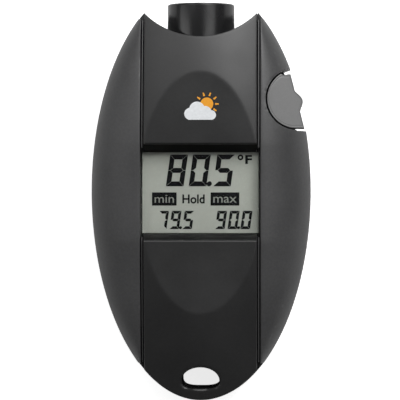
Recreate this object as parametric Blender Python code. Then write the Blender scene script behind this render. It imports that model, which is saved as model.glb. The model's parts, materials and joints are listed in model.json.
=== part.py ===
"""Handheld weather meter with a temperature sensor barrel, built piece by piece.

The meter lies on its back: +Z comes out of the display, +Y points to the sensor barrel and
+X is to the right of the display. The origin is on the back face, under the centre of the
body's oval outline.
"""

import math

import bmesh
import bpy
import numpy as np

# ---------------------------------------------------------------- driving dimensions
MM = 0.001
GAP = 0.3 * MM  # clearance between pieces that touch

BODY_HALF_WIDTH = 32.85 * MM  # the outline is one upright ellipse
BODY_HALF_LENGTH = 62.7 * MM
FRONT_Z = 26.0 * MM  # flat oval plateau of the centre panel
PARTING_Z = 11.0 * MM  # rear case below, front covers above
BACK_ROUND = 5.0 * MM  # edge radius round the back
WALL = 1.8 * MM
EDGE_ROUND = 0.3 * MM  # edge radius of the front covers

PANEL_HALF_WIDTH = 16.75 * MM
PANEL_END_INSET = 0.5 * MM  # its foot lies this far inside the outline
PLATEAU_HALF_WIDTH = 18.3 * MM
PLATEAU_HALF_LENGTH = 35.8 * MM
PLATEAU_Y = -0.5 * MM
CROWN_FALL = 3.5 * MM  # how fast the panel falls away outside the plateau
TOP_ARC_RADIUS = 23.2 * MM  # concave top edge round the barrel
TOP_ARC_Y = 69.0 * MM
SKIRT_Z = 17.0 * MM  # lower edge of the panel's side skirts
SKIRT_TOP_Y = 36.0 * MM
SKIRT_BOTTOM_Y = -42.0 * MM

WING_INNER_X = 17.75 * MM  # side covers start a groove away from the panel
WING_END_Y = 51.3 * MM
WING_STEP = 1.0 * MM  # side covers lie this far below the panel's edge
WING_LIP = 0.7 * MM  # upright edge at the outline
WING_ROUND = 1.5  # exponent of the side covers' fall
WING_WALL = 1.6 * MM
LEDGE_Z = 15.7 * MM  # ledge under the panel's skirts
LEDGE_THICK = 1.0 * MM
LEDGE_X = 15.0 * MM
LEDGE_Y = (-41.5 * MM, 35.5 * MM)

WINDOW_TOP_Y = 13.9 * MM  # display channel at the plateau
WINDOW_BOTTOM_Y = -14.7 * MM
LIP_TOP_Y = 11.6 * MM  # its slopes end in lips over the lens
LIP_BOTTOM_Y = -12.7 * MM
CHANNEL_TOP_Y = 12.8 * MM  # slot under the lips, open at both sides for the lens
CHANNEL_BOTTOM_Y = -13.7 * MM
SEAT_Z = 19.3 * MM  # the display cell lies on this
SEAT_THICK = 1.5 * MM
LENS_HALF_WIDTH = WING_INNER_X - GAP
CELL_HALF_WIDTH = 17.2 * MM
GASKET_STRIP = 0.7 * MM  # strips along the lens's top and bottom, hidden by the lips
LENS_Z = (21.5 * MM, 22.3 * MM)
GASKET_Z = (21.05 * MM, 21.35 * MM)
CELL_Z = (19.6 * MM, 20.9 * MM)
REFLECTOR_Z = (18.0 * MM, 19.3 * MM)
APERTURE_HALF_WIDTH = 14.0 * MM  # opening under the display cell
APERTURE_Y = (-11.0 * MM, 10.5 * MM)

ROCKER_X = 28.5 * MM  # rocker's pivot, the centre of its round side
ROCKER_Y = 27.35 * MM
ROCKER_RADIUS = 8.75 * MM
NOTCH_RADIUS = 9.2 * MM
NOTCH_LOW = 9.5 * MM  # the notch runs straight out this far from the pivot
ROCKER_BOTTOM_Z = 7.0 * MM
ROCKER_TOP_Z = 21.0 * MM  # at its innermost point
ROCKER_TILT = 0.4  # its face falls outwards
ROCKER_ENDS_Y = (18.65 * MM, 34.75 * MM)
FACE_TOP = (26.75 * MM, ROCKER_ENDS_Y[1])  # ends of its straight outer face
FACE_BOTTOM = (30.9 * MM, ROCKER_ENDS_Y[0])
NUB_HEIGHT = 1.6 * MM
NUB_HALF_WIDTH = 3.3 * MM
NUB_POWER = 1.4  # of the cosine that shapes it
PIVOT_PIN_RADIUS = 1.0 * MM
PIVOT_HOLE_RADIUS = 1.2 * MM
PIVOT_HOLE_TOP = 15.5 * MM
PIVOT_PIN_Z = (4.9 * MM, 15.0 * MM)
SHELF_Z = (4.0 * MM, 6.6 * MM)  # the case's shelf under the rocker, which carries the pin
SHELF_RADIUS = NOTCH_RADIUS + 0.9 * MM
SHELF_ENDS = (115.0, 268.0)  # degrees round the pivot
SHELF_NOSE = 1.75 * MM
SPRING_X = (16.2 * MM, 17.2 * MM)
SPRING_HALF_THICK = 0.12 * MM
SPRING_TOP = 14.2 * MM
SPRING_RIB_TOP = 5.5 * MM
FINGER_WINDOW_HALF = 2.95 * MM  # in the right side cover, past the finger's swing
FINGER_REACH = 14.5 * MM  # from the pivot to the switch stem
FINGER_HALF_WIDTH = 1.2 * MM
FINGER_Z = (12.6 * MM, 14.6 * MM)

BARREL_RADIUS = 10.0 * MM
BARREL_Z = 12.3 * MM
BARREL_FRONT_Y = 55.8 * MM
BARREL_BACK_Y = 33.0 * MM
BORE_RADIUS = 8.2 * MM
BORE_DEPTH = 9.0 * MM

LANYARD_Y = -56.3 * MM  # widest part of the lanyard eye
LANYARD_HALF_WIDTH = 5.6 * MM
LANYARD_RISE = 4.0 * MM
LANYARD_DROP = 2.6 * MM

EYE_WALL = 1.4 * MM

BATTERY_Y = -28.0 * MM
CELL_BASE_Z = 4.6 * MM
CELL_RADIUS = 10.0 * MM  # CR2032 coin cell
CELL_THICK = 3.2 * MM
CAP_RADIUS = 12.0 * MM
CAP_HUB_RADIUS = 10.7 * MM
CAP_TURN = 60.0  # degrees from locked to free
CAP_BOSS_TOP = 2.8 * MM
CAP_TOP_Z = 4.1 * MM
CAP_REBATE_TOP = 1.9 * MM
CAP_BORE_TOP = 4.0 * MM
CAP_SEAT_RADIUS = 15.5 * MM
CAP_LUG_RADIUS = 12.5 * MM
CAP_ENTRY_RADIUS = 12.8 * MM
CAP_LUG_HALF_ANGLE = 15.0  # degrees
CAP_ENTRY_HALF_ANGLE = 18.0
CELL_WELL_RADII = (13.7 * MM, 14.9 * MM)
CELL_WELL_Z = (2.0 * MM, 8.0 * MM)

BOARD_Z = (10.0 * MM, 11.2 * MM)
BOARD_HALF_WIDTH = 14.8 * MM
BOARD_Y = (-22.0 * MM, 31.0 * MM)

CASE_SCREWS = {
    "wing_screw": [(24.0, 8.0), (-24.0, 8.0), (22.0, -30.0), (-22.0, -30.0)],
    "panel_screw": [(13.2, 42.0), (-13.2, 42.0), (11.0, -47.0), (-11.0, -47.0)],
}
BOARD_SCREWS = [(12.4, 18.0), (-12.4, 18.0), (12.4, -13.0), (-12.4, -13.0)]
BARREL_SCREWS = [(12.9, 34.8), (-12.9, 34.8)]
POST_RADIUS = 2.8 * MM
BOARD_POST_RADIUS = 2.0 * MM
BARREL_POST_RADIUS = 2.3 * MM
BARREL_POST_TOP = 10.0 * MM
LUG_Z = (10.3 * MM, 13.3 * MM)  # the barrel's lugs stand on those posts
SMALL_HOLE_BOTTOM = 3.5 * MM
SCREW_HOLE_TOP = 17.0 * MM  # blind holes in the covers' bosses
BOSS_RADIUS = 2.4 * MM
SCREW_RADIUS = 1.0 * MM
SCREW_HOLE_RADIUS = 1.3 * MM
SCREW_HEAD_RADIUS = 2.0 * MM
SCREW_HEAD_THICK = 1.2 * MM
COUNTERBORE_DEPTH = 5.5 * MM

OUTLINE_SIDES = 64
ROUND_SIDES = 36
SMALL_SIDES = 12
TURN = 2 * math.pi
BELOW = -1.0 * MM  # cutters start under the back face
ABOVE = 30.0 * MM  # and end above the front


# ---------------------------------------------------------------- scene and materials
def clear_scene():
    for obj in list(bpy.data.objects):
        bpy.data.objects.remove(obj, do_unlink=True)


def material(name, colour, roughness, metallic=0.0, transmission=0.0):
    made = bpy.data.materials.new(name)
    made.use_nodes = True
    shader = made.node_tree.nodes["Principled BSDF"]
    shader.inputs["Base Color"].default_value = (*colour, 1.0)
    shader.inputs["Roughness"].default_value = roughness
    shader.inputs["Metallic"].default_value = metallic
    shader.inputs["Transmission Weight"].default_value = transmission
    made.diffuse_color = (*colour, 1.0)
    return made


# ---------------------------------------------------------------- closed meshes
def mesh_object(name, points, faces, look=None, collection=None):
    mesh = bpy.data.meshes.new(name)
    mesh.from_pydata(np.asarray(points).tolist(), [], faces)
    work = bmesh.new()
    work.from_mesh(mesh)
    bmesh.ops.recalc_face_normals(work, faces=work.faces)
    work.to_mesh(mesh)
    work.free()
    mesh.shade_smooth()
    mesh.set_sharp_from_angle(angle=math.radians(30))
    obj = bpy.data.objects.new(name, mesh)
    if look:
        mesh.materials.append(look)
    (collection or bpy.context.scene.collection).objects.link(obj)
    return obj


def loft(name, rings, look=None, collection=None, wrap=False):
    """Skins equal rings of points. It caps the two ends, or joins the last ring to the first."""
    rings = np.asarray(rings, float)
    count, sides = rings.shape[:2]
    faces = []
    for ring in range(count if wrap else count - 1):
        low, high = ring * sides, (ring + 1) % count * sides
        for i in range(sides):
            j = (i + 1) % sides
            faces.append((low + i, low + j, high + j, high + i))
    if not wrap:
        faces.append(tuple(reversed(range(sides))))
        faces.append(tuple(range((count - 1) * sides, count * sides)))
    return mesh_object(name, rings.reshape(-1, 3), faces, look, collection)


def prism(name, outline, low, high, look=None, collection=None):
    """An outline in X and Y, extruded from z = low to z = high."""
    rings = [[(x, y, z) for x, y in outline] for z in (low, high)]
    return loft(name, rings, look, collection)


def box(name, low, high, look=None, collection=None):
    outline = [(low[0], low[1]), (high[0], low[1]), (high[0], high[1]), (low[0], high[1])]
    return prism(name, outline, low[2], high[2], look, collection)


def circle(radius, sides=ROUND_SIDES, centre=(0.0, 0.0)):
    turn = np.arange(sides) * TURN / sides
    return np.column_stack([centre[0] + radius * np.cos(turn), centre[1] + radius * np.sin(turn)])


def post(name, x, y, radius, low, high, look=None, collection=None, sides=SMALL_SIDES):
    return prism(name, circle(radius, sides, (x, y)), low, high, look, collection)


def turned(name, profile, look=None, along="Z", centre=(0, 0, 0), sides=ROUND_SIDES, wrap=False,
           collection=None):
    """A profile of (radius, height) pairs turned about a line through centre, along Z or Y."""
    rings = []
    for radius, height in profile:
        flat = circle(radius, sides)
        up = np.full(sides, height)
        columns = [flat[:, 0], flat[:, 1], up] if along == "Z" else [flat[:, 0], up, flat[:, 1]]
        rings.append(np.column_stack(columns) + centre)
    return loft(name, rings, look, collection, wrap)


def patch_solid(name, x, y, top, bottom, look=None, collection=None):
    """A solid between a level bottom and a curved top, over a grid of points x, y."""
    rows, columns = x.shape
    upper = np.stack([x, y, top], axis=-1).reshape(-1, 3)
    index = np.arange(rows * columns).reshape(rows, columns)
    rim = [*index[0, :-1], *index[:-1, -1], *index[-1, :0:-1], *index[:0:-1, 0]]
    lower = upper[rim].copy()
    lower[:, 2] = bottom
    base = len(upper)
    faces = [
        (index[i, j], index[i + 1, j], index[i + 1, j + 1], index[i, j + 1])
        for i in range(rows - 1)
        for j in range(columns - 1)
    ]
    for i, corner in enumerate(rim):
        j = (i + 1) % len(rim)
        faces.append((corner, rim[j], base + j, base + i))
    faces.append(tuple(range(base, base + len(rim))))
    faces = [tuple(int(corner) for corner in face) for face in faces]
    return mesh_object(name, np.concatenate([upper, lower]), faces, look, collection)


# ---------------------------------------------------------------- Booleans
def group(name):
    made = bpy.data.collections.new(name)
    bpy.context.scene.collection.children.link(made)
    return made


def combine(target, operation, cutters):
    """Adds one live Boolean with every helper in a collection. The helpers don't render."""
    for helper in cutters.objects:
        helper.hide_render = True
        helper.display_type = "WIRE"
    modifier = target.modifiers.new(operation.title(), "BOOLEAN")
    modifier.operation = operation
    modifier.solver = "EXACT"
    modifier.operand_type = "COLLECTION"
    modifier.collection = cutters


def hollow(target, room, kept):
    """Cuts the room out of target, except for the posts and walls kept inside it."""
    combine(room, "DIFFERENCE", kept)
    rooms = group(target.name + " room")
    for collection in list(room.users_collection):
        collection.objects.unlink(room)
    rooms.objects.link(room)
    combine(target, "DIFFERENCE", rooms)


# ---------------------------------------------------------------- shapes of the body
def outline_x(y, inset=0.0):
    """Half the body's width at y."""
    reach = 1 - (y / (BODY_HALF_LENGTH - inset)) ** 2
    return (BODY_HALF_WIDTH - inset) * np.sqrt(np.maximum(reach, 0))


def outline_y(x, inset=0.0):
    """Half the body's length at x."""
    return (BODY_HALF_LENGTH - inset) * np.sqrt(1 - (x / (BODY_HALF_WIDTH - inset)) ** 2)


def top_arc_y(x, inset=0.0):
    return TOP_ARC_Y - np.sqrt((TOP_ARC_RADIUS + inset) ** 2 - x**2)


def panel_height(x, y):
    """A dome that falls with the square of the oval distance, cut flat inside the plateau."""
    fall = (x / PLATEAU_HALF_WIDTH) ** 2 + ((y - PLATEAU_Y) / PLATEAU_HALF_LENGTH) ** 2 - 1
    return FRONT_Z - CROWN_FALL * np.maximum(fall, 0)


def wing_height(x, y, inset=0.0):
    """From just below the panel's edge, down to the lip at the outline on a soft curve."""
    inner_x = WING_INNER_X + inset
    reach = np.clip((x - inner_x) / (outline_x(y, inset) - inner_x), 0, 1)
    inner = panel_height(PANEL_HALF_WIDTH, y) - WING_STEP - inset
    foot = PARTING_Z + GAP + WING_LIP
    return foot + (inner - foot) * np.sqrt(1 - reach**WING_ROUND)


def edge_drop(distance, radius=EDGE_ROUND):
    """How far a rounded edge lies below the surface, this far in from the edge."""
    inward = np.clip(radius - distance, 0, radius)
    return radius - np.sqrt(radius**2 - inward**2)


def steps(low, high, count, edge):
    """Even steps from low to high, with one narrow step at each end."""
    middle = np.linspace(edge, 1 - edge, count)
    return low + (high - low) * np.concatenate([[0], middle, [1]])


def eye_ring(z, grown=0.0, sides=32):
    """The lanyard eye: an arch over a flat, round-cornered foot."""
    half_width = LANYARD_HALF_WIDTH + grown
    rise, drop = LANYARD_RISE + grown, LANYARD_DROP + grown
    turn = np.arange(sides) * TURN / sides
    over = np.sin(turn) >= 0
    power = np.where(over, 1.0, 2 / 3)
    x = half_width * np.sign(np.cos(turn)) * np.abs(np.cos(turn)) ** power
    y = np.sign(np.sin(turn)) * np.abs(np.sin(turn)) ** power * np.where(over, rise, drop)
    return np.column_stack([x, LANYARD_Y + y, np.full(sides, z)])


def body_rings(inset, floor, edge, top):
    """Rings of the oval body, with its lower edge rounded."""
    rings = []
    for angle in np.linspace(0, math.pi / 2, 4):
        shrink = inset + edge * (1 - math.sin(angle))
        z = floor + edge * (1 - math.cos(angle))
        rings.append((shrink, z))
    rings.append((inset, top))
    turn = np.arange(OUTLINE_SIDES) * TURN / OUTLINE_SIDES
    return [
        np.column_stack([
            (BODY_HALF_WIDTH - shrink) * np.cos(turn),
            (BODY_HALF_LENGTH - shrink) * np.sin(turn),
            np.full(OUTLINE_SIDES, z),
        ])
        for shrink, z in rings
    ]


def notch(collection, low=BELOW, high=ABOVE):
    """The rocker's round notch, with its straight way out of the side."""
    post("notch", ROCKER_X, ROCKER_Y, NOTCH_RADIUS, low, high, None, collection, ROUND_SIDES)
    reach = ROCKER_X + 2 * NOTCH_RADIUS
    box("notch way", (ROCKER_X, ROCKER_Y - NOTCH_LOW, low), (reach, ROCKER_Y + NOTCH_LOW, high),
        None, collection)


def barrel_hole(collection):
    length = [(BARREL_RADIUS + GAP, BARREL_BACK_Y - GAP), (BARREL_RADIUS + GAP, BARREL_FRONT_Y)]
    turned("barrel hole", length, None, "Y", (0, 0, BARREL_Z), collection=collection)


def case_screw_places():
    return [(x * MM, y * MM) for places in CASE_SCREWS.values() for x, y in places]


# ---------------------------------------------------------------- casing
def rear_case(look):
    case = loft("rear_case", body_rings(0.0, 0.0, BACK_ROUND, PARTING_Z), look)
    room = loft("rear room", body_rings(WALL, WALL, BACK_ROUND - WALL, PARTING_Z + MM))
    kept = group("rear posts")
    post("notch wall", ROCKER_X, ROCKER_Y, NOTCH_RADIUS + WALL, BELOW, ABOVE, None, kept, ROUND_SIDES)
    post("arc wall", 0, TOP_ARC_Y, TOP_ARC_RADIUS + WALL, BELOW, ABOVE, None, kept, 48)
    loft("eye wall", [eye_ring(z, EYE_WALL) for z in (BELOW, ABOVE)], None, kept)
    for x, y in case_screw_places():
        post("screw post", x, y, POST_RADIUS, BELOW, ABOVE, None, kept)
    for x, y in BOARD_SCREWS:
        post("board post", x * MM, y * MM, BOARD_POST_RADIUS, BELOW, BOARD_Z[0] - GAP, None, kept)
    for x, y in BARREL_SCREWS:
        post("barrel post", x * MM, y * MM, BARREL_POST_RADIUS, BELOW, BARREL_POST_TOP, None, kept)
    battery = (0, BATTERY_Y, 0)
    turned("cap seat", [(CAP_SEAT_RADIUS, BELOW), (CAP_SEAT_RADIUS, CAP_BOSS_TOP)], None, "Z", battery,
           collection=kept)
    inner, outer = CELL_WELL_RADII
    low, high = CELL_WELL_Z
    well = [(inner, low), (outer, low), (outer, high), (inner, high)]
    turned("cell well", well, None, "Z", battery, wrap=True, collection=kept)
    for side in (-1, 1):
        near, far = sorted((side * GAP + ROCKER_Y, side * 1.6 * MM + ROCKER_Y))
        box("spring rib", (SPRING_X[0] - 2 * GAP, near, BELOW),
            (SPRING_X[1] + 0.5 * MM, far, SPRING_RIB_TOP), None, kept)
    hollow(case, room, kept)

    cuts = group("rear cuts")
    notch(cuts)
    barrel_hole(cuts)
    post("top arc", 0, TOP_ARC_Y, TOP_ARC_RADIUS, BELOW, ABOVE, None, cuts, 72)
    loft("eye", [eye_ring(z) for z in (BELOW, ABOVE)], None, cuts)
    for x, y in case_screw_places():
        post("screw hole", x, y, SCREW_HOLE_RADIUS, BELOW, ABOVE, None, cuts)
        post("counterbore", x, y, BOSS_RADIUS, BELOW, COUNTERBORE_DEPTH, None, cuts)
    for x, y in BOARD_SCREWS + BARREL_SCREWS:
        post("small hole", x * MM, y * MM, SCREW_HOLE_RADIUS - GAP / 2, SMALL_HOLE_BOTTOM, ABOVE,
             None, cuts)
    for name, radius, top in (("cap rebate", CAP_RADIUS, CAP_REBATE_TOP),
                              ("cap bore", CAP_HUB_RADIUS, CAP_BORE_TOP)):
        post(name, 0, BATTERY_Y, radius + GAP, BELOW, top, None, cuts, ROUND_SIDES)
    for turn in (CAP_TURN, CAP_TURN + 180):
        entry = bayonet_sector(CAP_HUB_RADIUS - MM, CAP_ENTRY_RADIUS, CAP_ENTRY_HALF_ANGLE, -turn)
        prism("lug entry", entry, MM, CAP_BORE_TOP, None, cuts)
    combine(case, "DIFFERENCE", cuts)

    shelf = group("rocker shelf")
    prism("shelf", shelf_outline(), *SHELF_Z, None, shelf)
    combine(case, "UNION", shelf)
    pin = group("rocker pin hole")
    post("pin hole", ROCKER_X, ROCKER_Y, PIVOT_HOLE_RADIUS, SHELF_Z[0] + 2 * GAP, ABOVE, None, pin)
    combine(case, "DIFFERENCE", pin)


def shelf_outline():
    """Round along the notch, and drawn in to a nose at the pin."""

    def arc(radius, start, end, count):
        turn = np.radians(np.linspace(start, end, count))
        return np.column_stack([ROCKER_X + radius * np.cos(turn), ROCKER_Y + radius * np.sin(turn)])

    return np.concatenate([arc(SHELF_RADIUS, *SHELF_ENDS, 19), arc(SHELF_NOSE, -80, 80, 9)])


def bayonet_sector(inner, outer, half_angle, middle):
    """A ring sector about the battery's centre, with angles in degrees."""
    turn = np.radians(np.linspace(middle - half_angle, middle + half_angle, 7))
    arc = np.column_stack([np.cos(turn), np.sin(turn)])
    outline = np.concatenate([outer * arc, inner * arc[::-1]])
    return outline + (0, BATTERY_Y)


def side_cover(name, side, look):
    """One side cover. It is shaped on the right, and side turns it over to the left."""

    def patch(inset, end_y, rows, columns):
        y = np.linspace(-end_y, end_y, rows)[:, None]
        share = 1 - (1 - np.linspace(0, 1, columns)) ** 1.8
        inner_x = WING_INNER_X + inset
        x = inner_x + share * (outline_x(y, inset) - inner_x)
        y = np.broadcast_to(y, x.shape)
        return x, y, wing_height(x, y, inset)

    x, y, top = patch(0.0, WING_END_Y, 41, 9)
    top = top - edge_drop(x - WING_INNER_X, EDGE_ROUND / 2)
    cover = patch_solid(name, side * x, y, top, PARTING_Z + GAP, look)

    x, y, top = patch(WING_WALL, 44.0 * MM, 21, 6)
    room = patch_solid(name + " room", side * x, y, top, PARTING_Z)
    kept = group(name + " bosses")
    for place_x, place_y in case_screw_places():
        if place_x * side > WING_INNER_X:
            post("boss", place_x, place_y, BOSS_RADIUS, BELOW, ABOVE, None, kept)
    if side > 0:
        post("notch wall", ROCKER_X, ROCKER_Y, NOTCH_RADIUS + WALL, BELOW, ABOVE, None, kept, ROUND_SIDES)
    hollow(cover, room, kept)

    ledge = group(name + " ledge")
    near, far = sorted((side * LEDGE_X, side * (WING_INNER_X + MM)))
    box("ledge", (near, LEDGE_Y[0], LEDGE_Z), (far, LEDGE_Y[1], LEDGE_Z + LEDGE_THICK),
        None, ledge)
    combine(cover, "UNION", ledge)

    cuts = group(name + " cuts")
    near, far = sorted((side * LEDGE_X, side * (WING_INNER_X + WING_WALL + 0.1 * MM)))
    box("under ledge", (near - MM, LEDGE_Y[0], BELOW), (far, LEDGE_Y[1], LEDGE_Z),
        None, cuts)
    for place_x, place_y in case_screw_places():
        if place_x * side > WING_INNER_X:
            post("hole", place_x, place_y, SCREW_HOLE_RADIUS, BELOW, SCREW_HOLE_TOP, None, cuts)
    if side > 0:
        notch(cuts)
        low = (SPRING_X[0] - 0.2 * MM, ROCKER_Y - FINGER_WINDOW_HALF, FINGER_Z[0] - GAP)
        high = (21.5 * MM, ROCKER_Y + FINGER_WINDOW_HALF, FINGER_Z[1] + GAP)
        box("finger window", low, high, None, cuts)
    combine(cover, "DIFFERENCE", cuts)


def front_panel(look):
    across = steps(-PANEL_HALF_WIDTH, PANEL_HALF_WIDTH, 15, EDGE_ROUND / (2 * PANEL_HALF_WIDTH))[:, None]
    share = steps(0, 1, 39, EDGE_ROUND / (2 * BODY_HALF_LENGTH))
    low_y, high_y = -outline_y(across, PANEL_END_INSET), top_arc_y(across)
    y = low_y + share * (high_y - low_y)
    x = np.broadcast_to(across, y.shape)
    edge = np.minimum(PANEL_HALF_WIDTH - np.abs(x), np.minimum(y - low_y, high_y - y))
    top = panel_height(x, y) - edge_drop(edge)
    panel = patch_solid("front_panel", x, y, top, PARTING_Z + GAP, look)

    rooms = group("panel rooms")
    half = PANEL_HALF_WIDTH - 1.6 * MM
    across = np.linspace(-half, half, 9)[:, None]
    ends = {
        "upper room": (15.7 * MM + 0 * across, top_arc_y(across, WALL)),
        "lower room": (-50.4 * MM + 0 * across, -16.5 * MM + 0 * across),
    }
    bosses = group("panel bosses")
    for place_x, place_y in case_screw_places():
        if abs(place_x) < PANEL_HALF_WIDTH:
            post("boss", place_x, place_y, BOSS_RADIUS, BELOW, ABOVE, None, bosses)
    for name, (low_y, high_y) in ends.items():
        y = low_y + np.linspace(0, 1, 9) * (high_y - low_y)
        x = np.broadcast_to(across, y.shape)
        room = patch_solid(name, x, y, panel_height(x, y) - WALL, PARTING_Z - MM, None, rooms)
        combine(room, "DIFFERENCE", bosses)
    box("under seat", (-half, CHANNEL_BOTTOM_Y, BELOW), (half, CHANNEL_TOP_Y, SEAT_Z - SEAT_THICK),
        None, rooms)
    combine(panel, "DIFFERENCE", rooms)

    cuts = group("panel cuts")
    far = PANEL_HALF_WIDTH + MM
    lip_z = LENS_Z[1] + GAP
    top_run = MM * (WINDOW_TOP_Y - LIP_TOP_Y) / (FRONT_Z - lip_z)
    bottom_run = MM * (LIP_BOTTOM_Y - WINDOW_BOTTOM_Y) / (FRONT_Z - lip_z)
    channel = [
        (WINDOW_TOP_Y + top_run, FRONT_Z + MM), (WINDOW_BOTTOM_Y - bottom_run, FRONT_Z + MM),
        (LIP_BOTTOM_Y, lip_z), (CHANNEL_BOTTOM_Y, lip_z), (CHANNEL_BOTTOM_Y, SEAT_Z),
        (CHANNEL_TOP_Y, SEAT_Z), (CHANNEL_TOP_Y, lip_z), (LIP_TOP_Y, lip_z),
    ]
    loft("channel", [[(x, y, z) for y, z in channel] for x in (-far, far)], None, cuts)
    box("aperture", (-APERTURE_HALF_WIDTH, APERTURE_Y[0], SKIRT_Z),
        (APERTURE_HALF_WIDTH, APERTURE_Y[1], SEAT_Z + MM), None, cuts)
    box("under skirts", (-far, SKIRT_BOTTOM_Y, BELOW), (far, SKIRT_TOP_Y, SKIRT_Z), None, cuts)
    barrel_hole(cuts)
    for place_x, place_y in case_screw_places():
        if abs(place_x) < PANEL_HALF_WIDTH:
            post("hole", place_x, place_y, SCREW_HOLE_RADIUS, BELOW, SCREW_HOLE_TOP, None, cuts)
    loft("eye", [eye_ring(z) for z in (BELOW, ABOVE)], None, cuts)
    combine(panel, "DIFFERENCE", cuts)


# ---------------------------------------------------------------- display
def display(glass, grey, rubber, white):
    low_y, high_y = CHANNEL_BOTTOM_Y + GAP, CHANNEL_TOP_Y - GAP
    box("display_lens", (-LENS_HALF_WIDTH, low_y, LENS_Z[0]), (LENS_HALF_WIDTH, high_y, LENS_Z[1]), glass)
    for name, near in (("top", high_y - GASKET_STRIP), ("bottom", low_y)):
        box("lens_gasket_" + name, (-CELL_HALF_WIDTH, near, GASKET_Z[0]),
            (CELL_HALF_WIDTH, near + GASKET_STRIP, GASKET_Z[1]), rubber)
    box("lcd_cell", (-CELL_HALF_WIDTH, low_y, CELL_Z[0]), (CELL_HALF_WIDTH, high_y, CELL_Z[1]), grey)
    edge = APERTURE_HALF_WIDTH - 0.4 * MM
    inside = (APERTURE_Y[0] + 2.2 * MM, APERTURE_Y[1] - 2.2 * MM)
    box("lcd_reflector", (-edge, inside[0], REFLECTOR_Z[0]), (edge, inside[1], REFLECTOR_Z[1]), white)
    opening = (inside[0] + 2.2 * MM, inside[1] - 2.2 * MM)
    frame_z = (BOARD_Z[1] + GAP, REFLECTOR_Z[0] - GAP)
    frame_ring("lcd_frame", edge, inside, edge - 2.4 * MM, opening, frame_z, white)
    strip = 1.6 * MM
    for name, near in (("top", APERTURE_Y[1] - GAP - strip), ("bottom", APERTURE_Y[0] + GAP)):
        box("lcd_connector_" + name, (-13.0 * MM, near, BOARD_Z[1] + GAP),
            (13.0 * MM, near + strip, CELL_Z[0] - GAP), rubber)


def frame_ring(name, outer_x, outer_y, inner_x, inner_y, z, look):
    """A flat rectangular ring."""

    def corners(half, span, height):
        return [(-half, span[0], height), (half, span[0], height), (half, span[1], height),
                (-half, span[1], height)]

    rings = [
        corners(outer_x, outer_y, z[0]), corners(outer_x, outer_y, z[1]),
        corners(inner_x, inner_y, z[1]), corners(inner_x, inner_y, z[0]),
    ]
    return loft(name, rings, look, wrap=True)


# ---------------------------------------------------------------- electronics
def electronics(board_look, chip_look, metal, plastic):
    board = box("main_board", (-BOARD_HALF_WIDTH, BOARD_Y[0], BOARD_Z[0]),
                (BOARD_HALF_WIDTH, BOARD_Y[1], BOARD_Z[1]), board_look)
    holes = group("board holes")
    for x, y in BOARD_SCREWS:
        post("hole", x * MM, y * MM, SCREW_HOLE_RADIUS, BELOW, ABOVE, None, holes)
    combine(board, "DIFFERENCE", holes)
    on_board = BOARD_Z[1] + GAP
    box("controller_chip", (-4.5 * MM, -4.2 * MM, on_board), (4.5 * MM, 3.8 * MM, on_board + 1.2 * MM),
        chip_look)
    can = [(1.5 * MM, -3 * MM), (1.5 * MM, 3 * MM)]
    turned("timing_crystal", can, metal, "Y", (-6 * MM, 20 * MM, on_board + 1.5 * MM), SMALL_SIDES)
    rocker_switch(plastic, metal, on_board)


def rocker_switch(plastic, metal, on_board):
    """A self-centring slide switch, whose forked stem the rocker's finger moves along Y."""
    middle = sum(FINGER_Z) / 2
    tip_x = ROCKER_X - FINGER_REACH
    body_x = tip_x - 2.4 * MM
    half = 3.9 * MM
    body = box("switch_body", (body_x - 3.8 * MM, ROCKER_Y - half, on_board),
               (body_x, ROCKER_Y + half, on_board + 4.1 * MM), metal)
    cuts = group("switch cuts")
    inside = half - 0.7 * MM
    box("slider room", (body_x - 3.1 * MM, ROCKER_Y - inside, middle - 1.3 * MM),
        (body_x - 0.7 * MM, ROCKER_Y + inside, middle + 1.3 * MM), None, cuts)
    slot = 2.95 * MM
    box("stem slot", (body_x - MM, ROCKER_Y - slot, middle - 0.8 * MM),
        (body_x + MM, ROCKER_Y + slot, middle + 0.8 * MM), None, cuts)
    combine(body, "DIFFERENCE", cuts)

    stem = box("switch_stem", (body_x + 0.4 * MM, ROCKER_Y - 2.7 * MM, middle - 1.0 * MM),
               (tip_x + MM, ROCKER_Y + 2.7 * MM, middle + 1.0 * MM), plastic)
    fork = group("stem fork")
    box("fork room", (tip_x - 0.7 * MM, ROCKER_Y - FINGER_HALF_WIDTH - GAP, BELOW),
        (tip_x + 2 * MM, ROCKER_Y + FINGER_HALF_WIDTH + GAP, ABOVE), None, fork)
    combine(stem, "DIFFERENCE", fork)
    slider = group("stem slider")
    box("neck", (body_x - 1.5 * MM, ROCKER_Y - 0.8 * MM, middle - 0.5 * MM),
        (body_x + MM, ROCKER_Y + 0.8 * MM, middle + 0.5 * MM), None, slider)
    box("slider", (body_x - 2.8 * MM, ROCKER_Y - 1.2 * MM, middle - 1.0 * MM),
        (body_x - MM, ROCKER_Y + 1.2 * MM, middle + 1.0 * MM), None, slider)
    combine(stem, "UNION", slider)


# ---------------------------------------------------------------- rocker
def rocker_outline():
    """A half disc whose straight face carries a soft nub, and whose round side meets two flats."""
    top, bottom = np.array(FACE_TOP), np.array(FACE_BOTTOM)
    length = np.linalg.norm(bottom - top)
    along = (bottom - top) / length
    outward = np.array([-along[1], along[0]])
    share = np.linspace(0, length, 25)
    away = np.clip((share - length / 2) / NUB_HALF_WIDTH, -1, 1)
    bulge = NUB_HEIGHT * np.maximum(np.cos(away * math.pi / 2), 0) ** NUB_POWER
    face = top + share[:, None] * along + bulge[:, None] * outward
    start = math.pi + math.asin((ROCKER_Y - ROCKER_ENDS_Y[0]) / ROCKER_RADIUS)
    end = math.pi - math.asin((ROCKER_ENDS_Y[1] - ROCKER_Y) / ROCKER_RADIUS)
    turn = np.linspace(start, end, 21)
    arc = np.column_stack([ROCKER_X + ROCKER_RADIUS * np.cos(turn),
                           ROCKER_Y + ROCKER_RADIUS * np.sin(turn)])
    return np.concatenate([face, arc])


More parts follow.
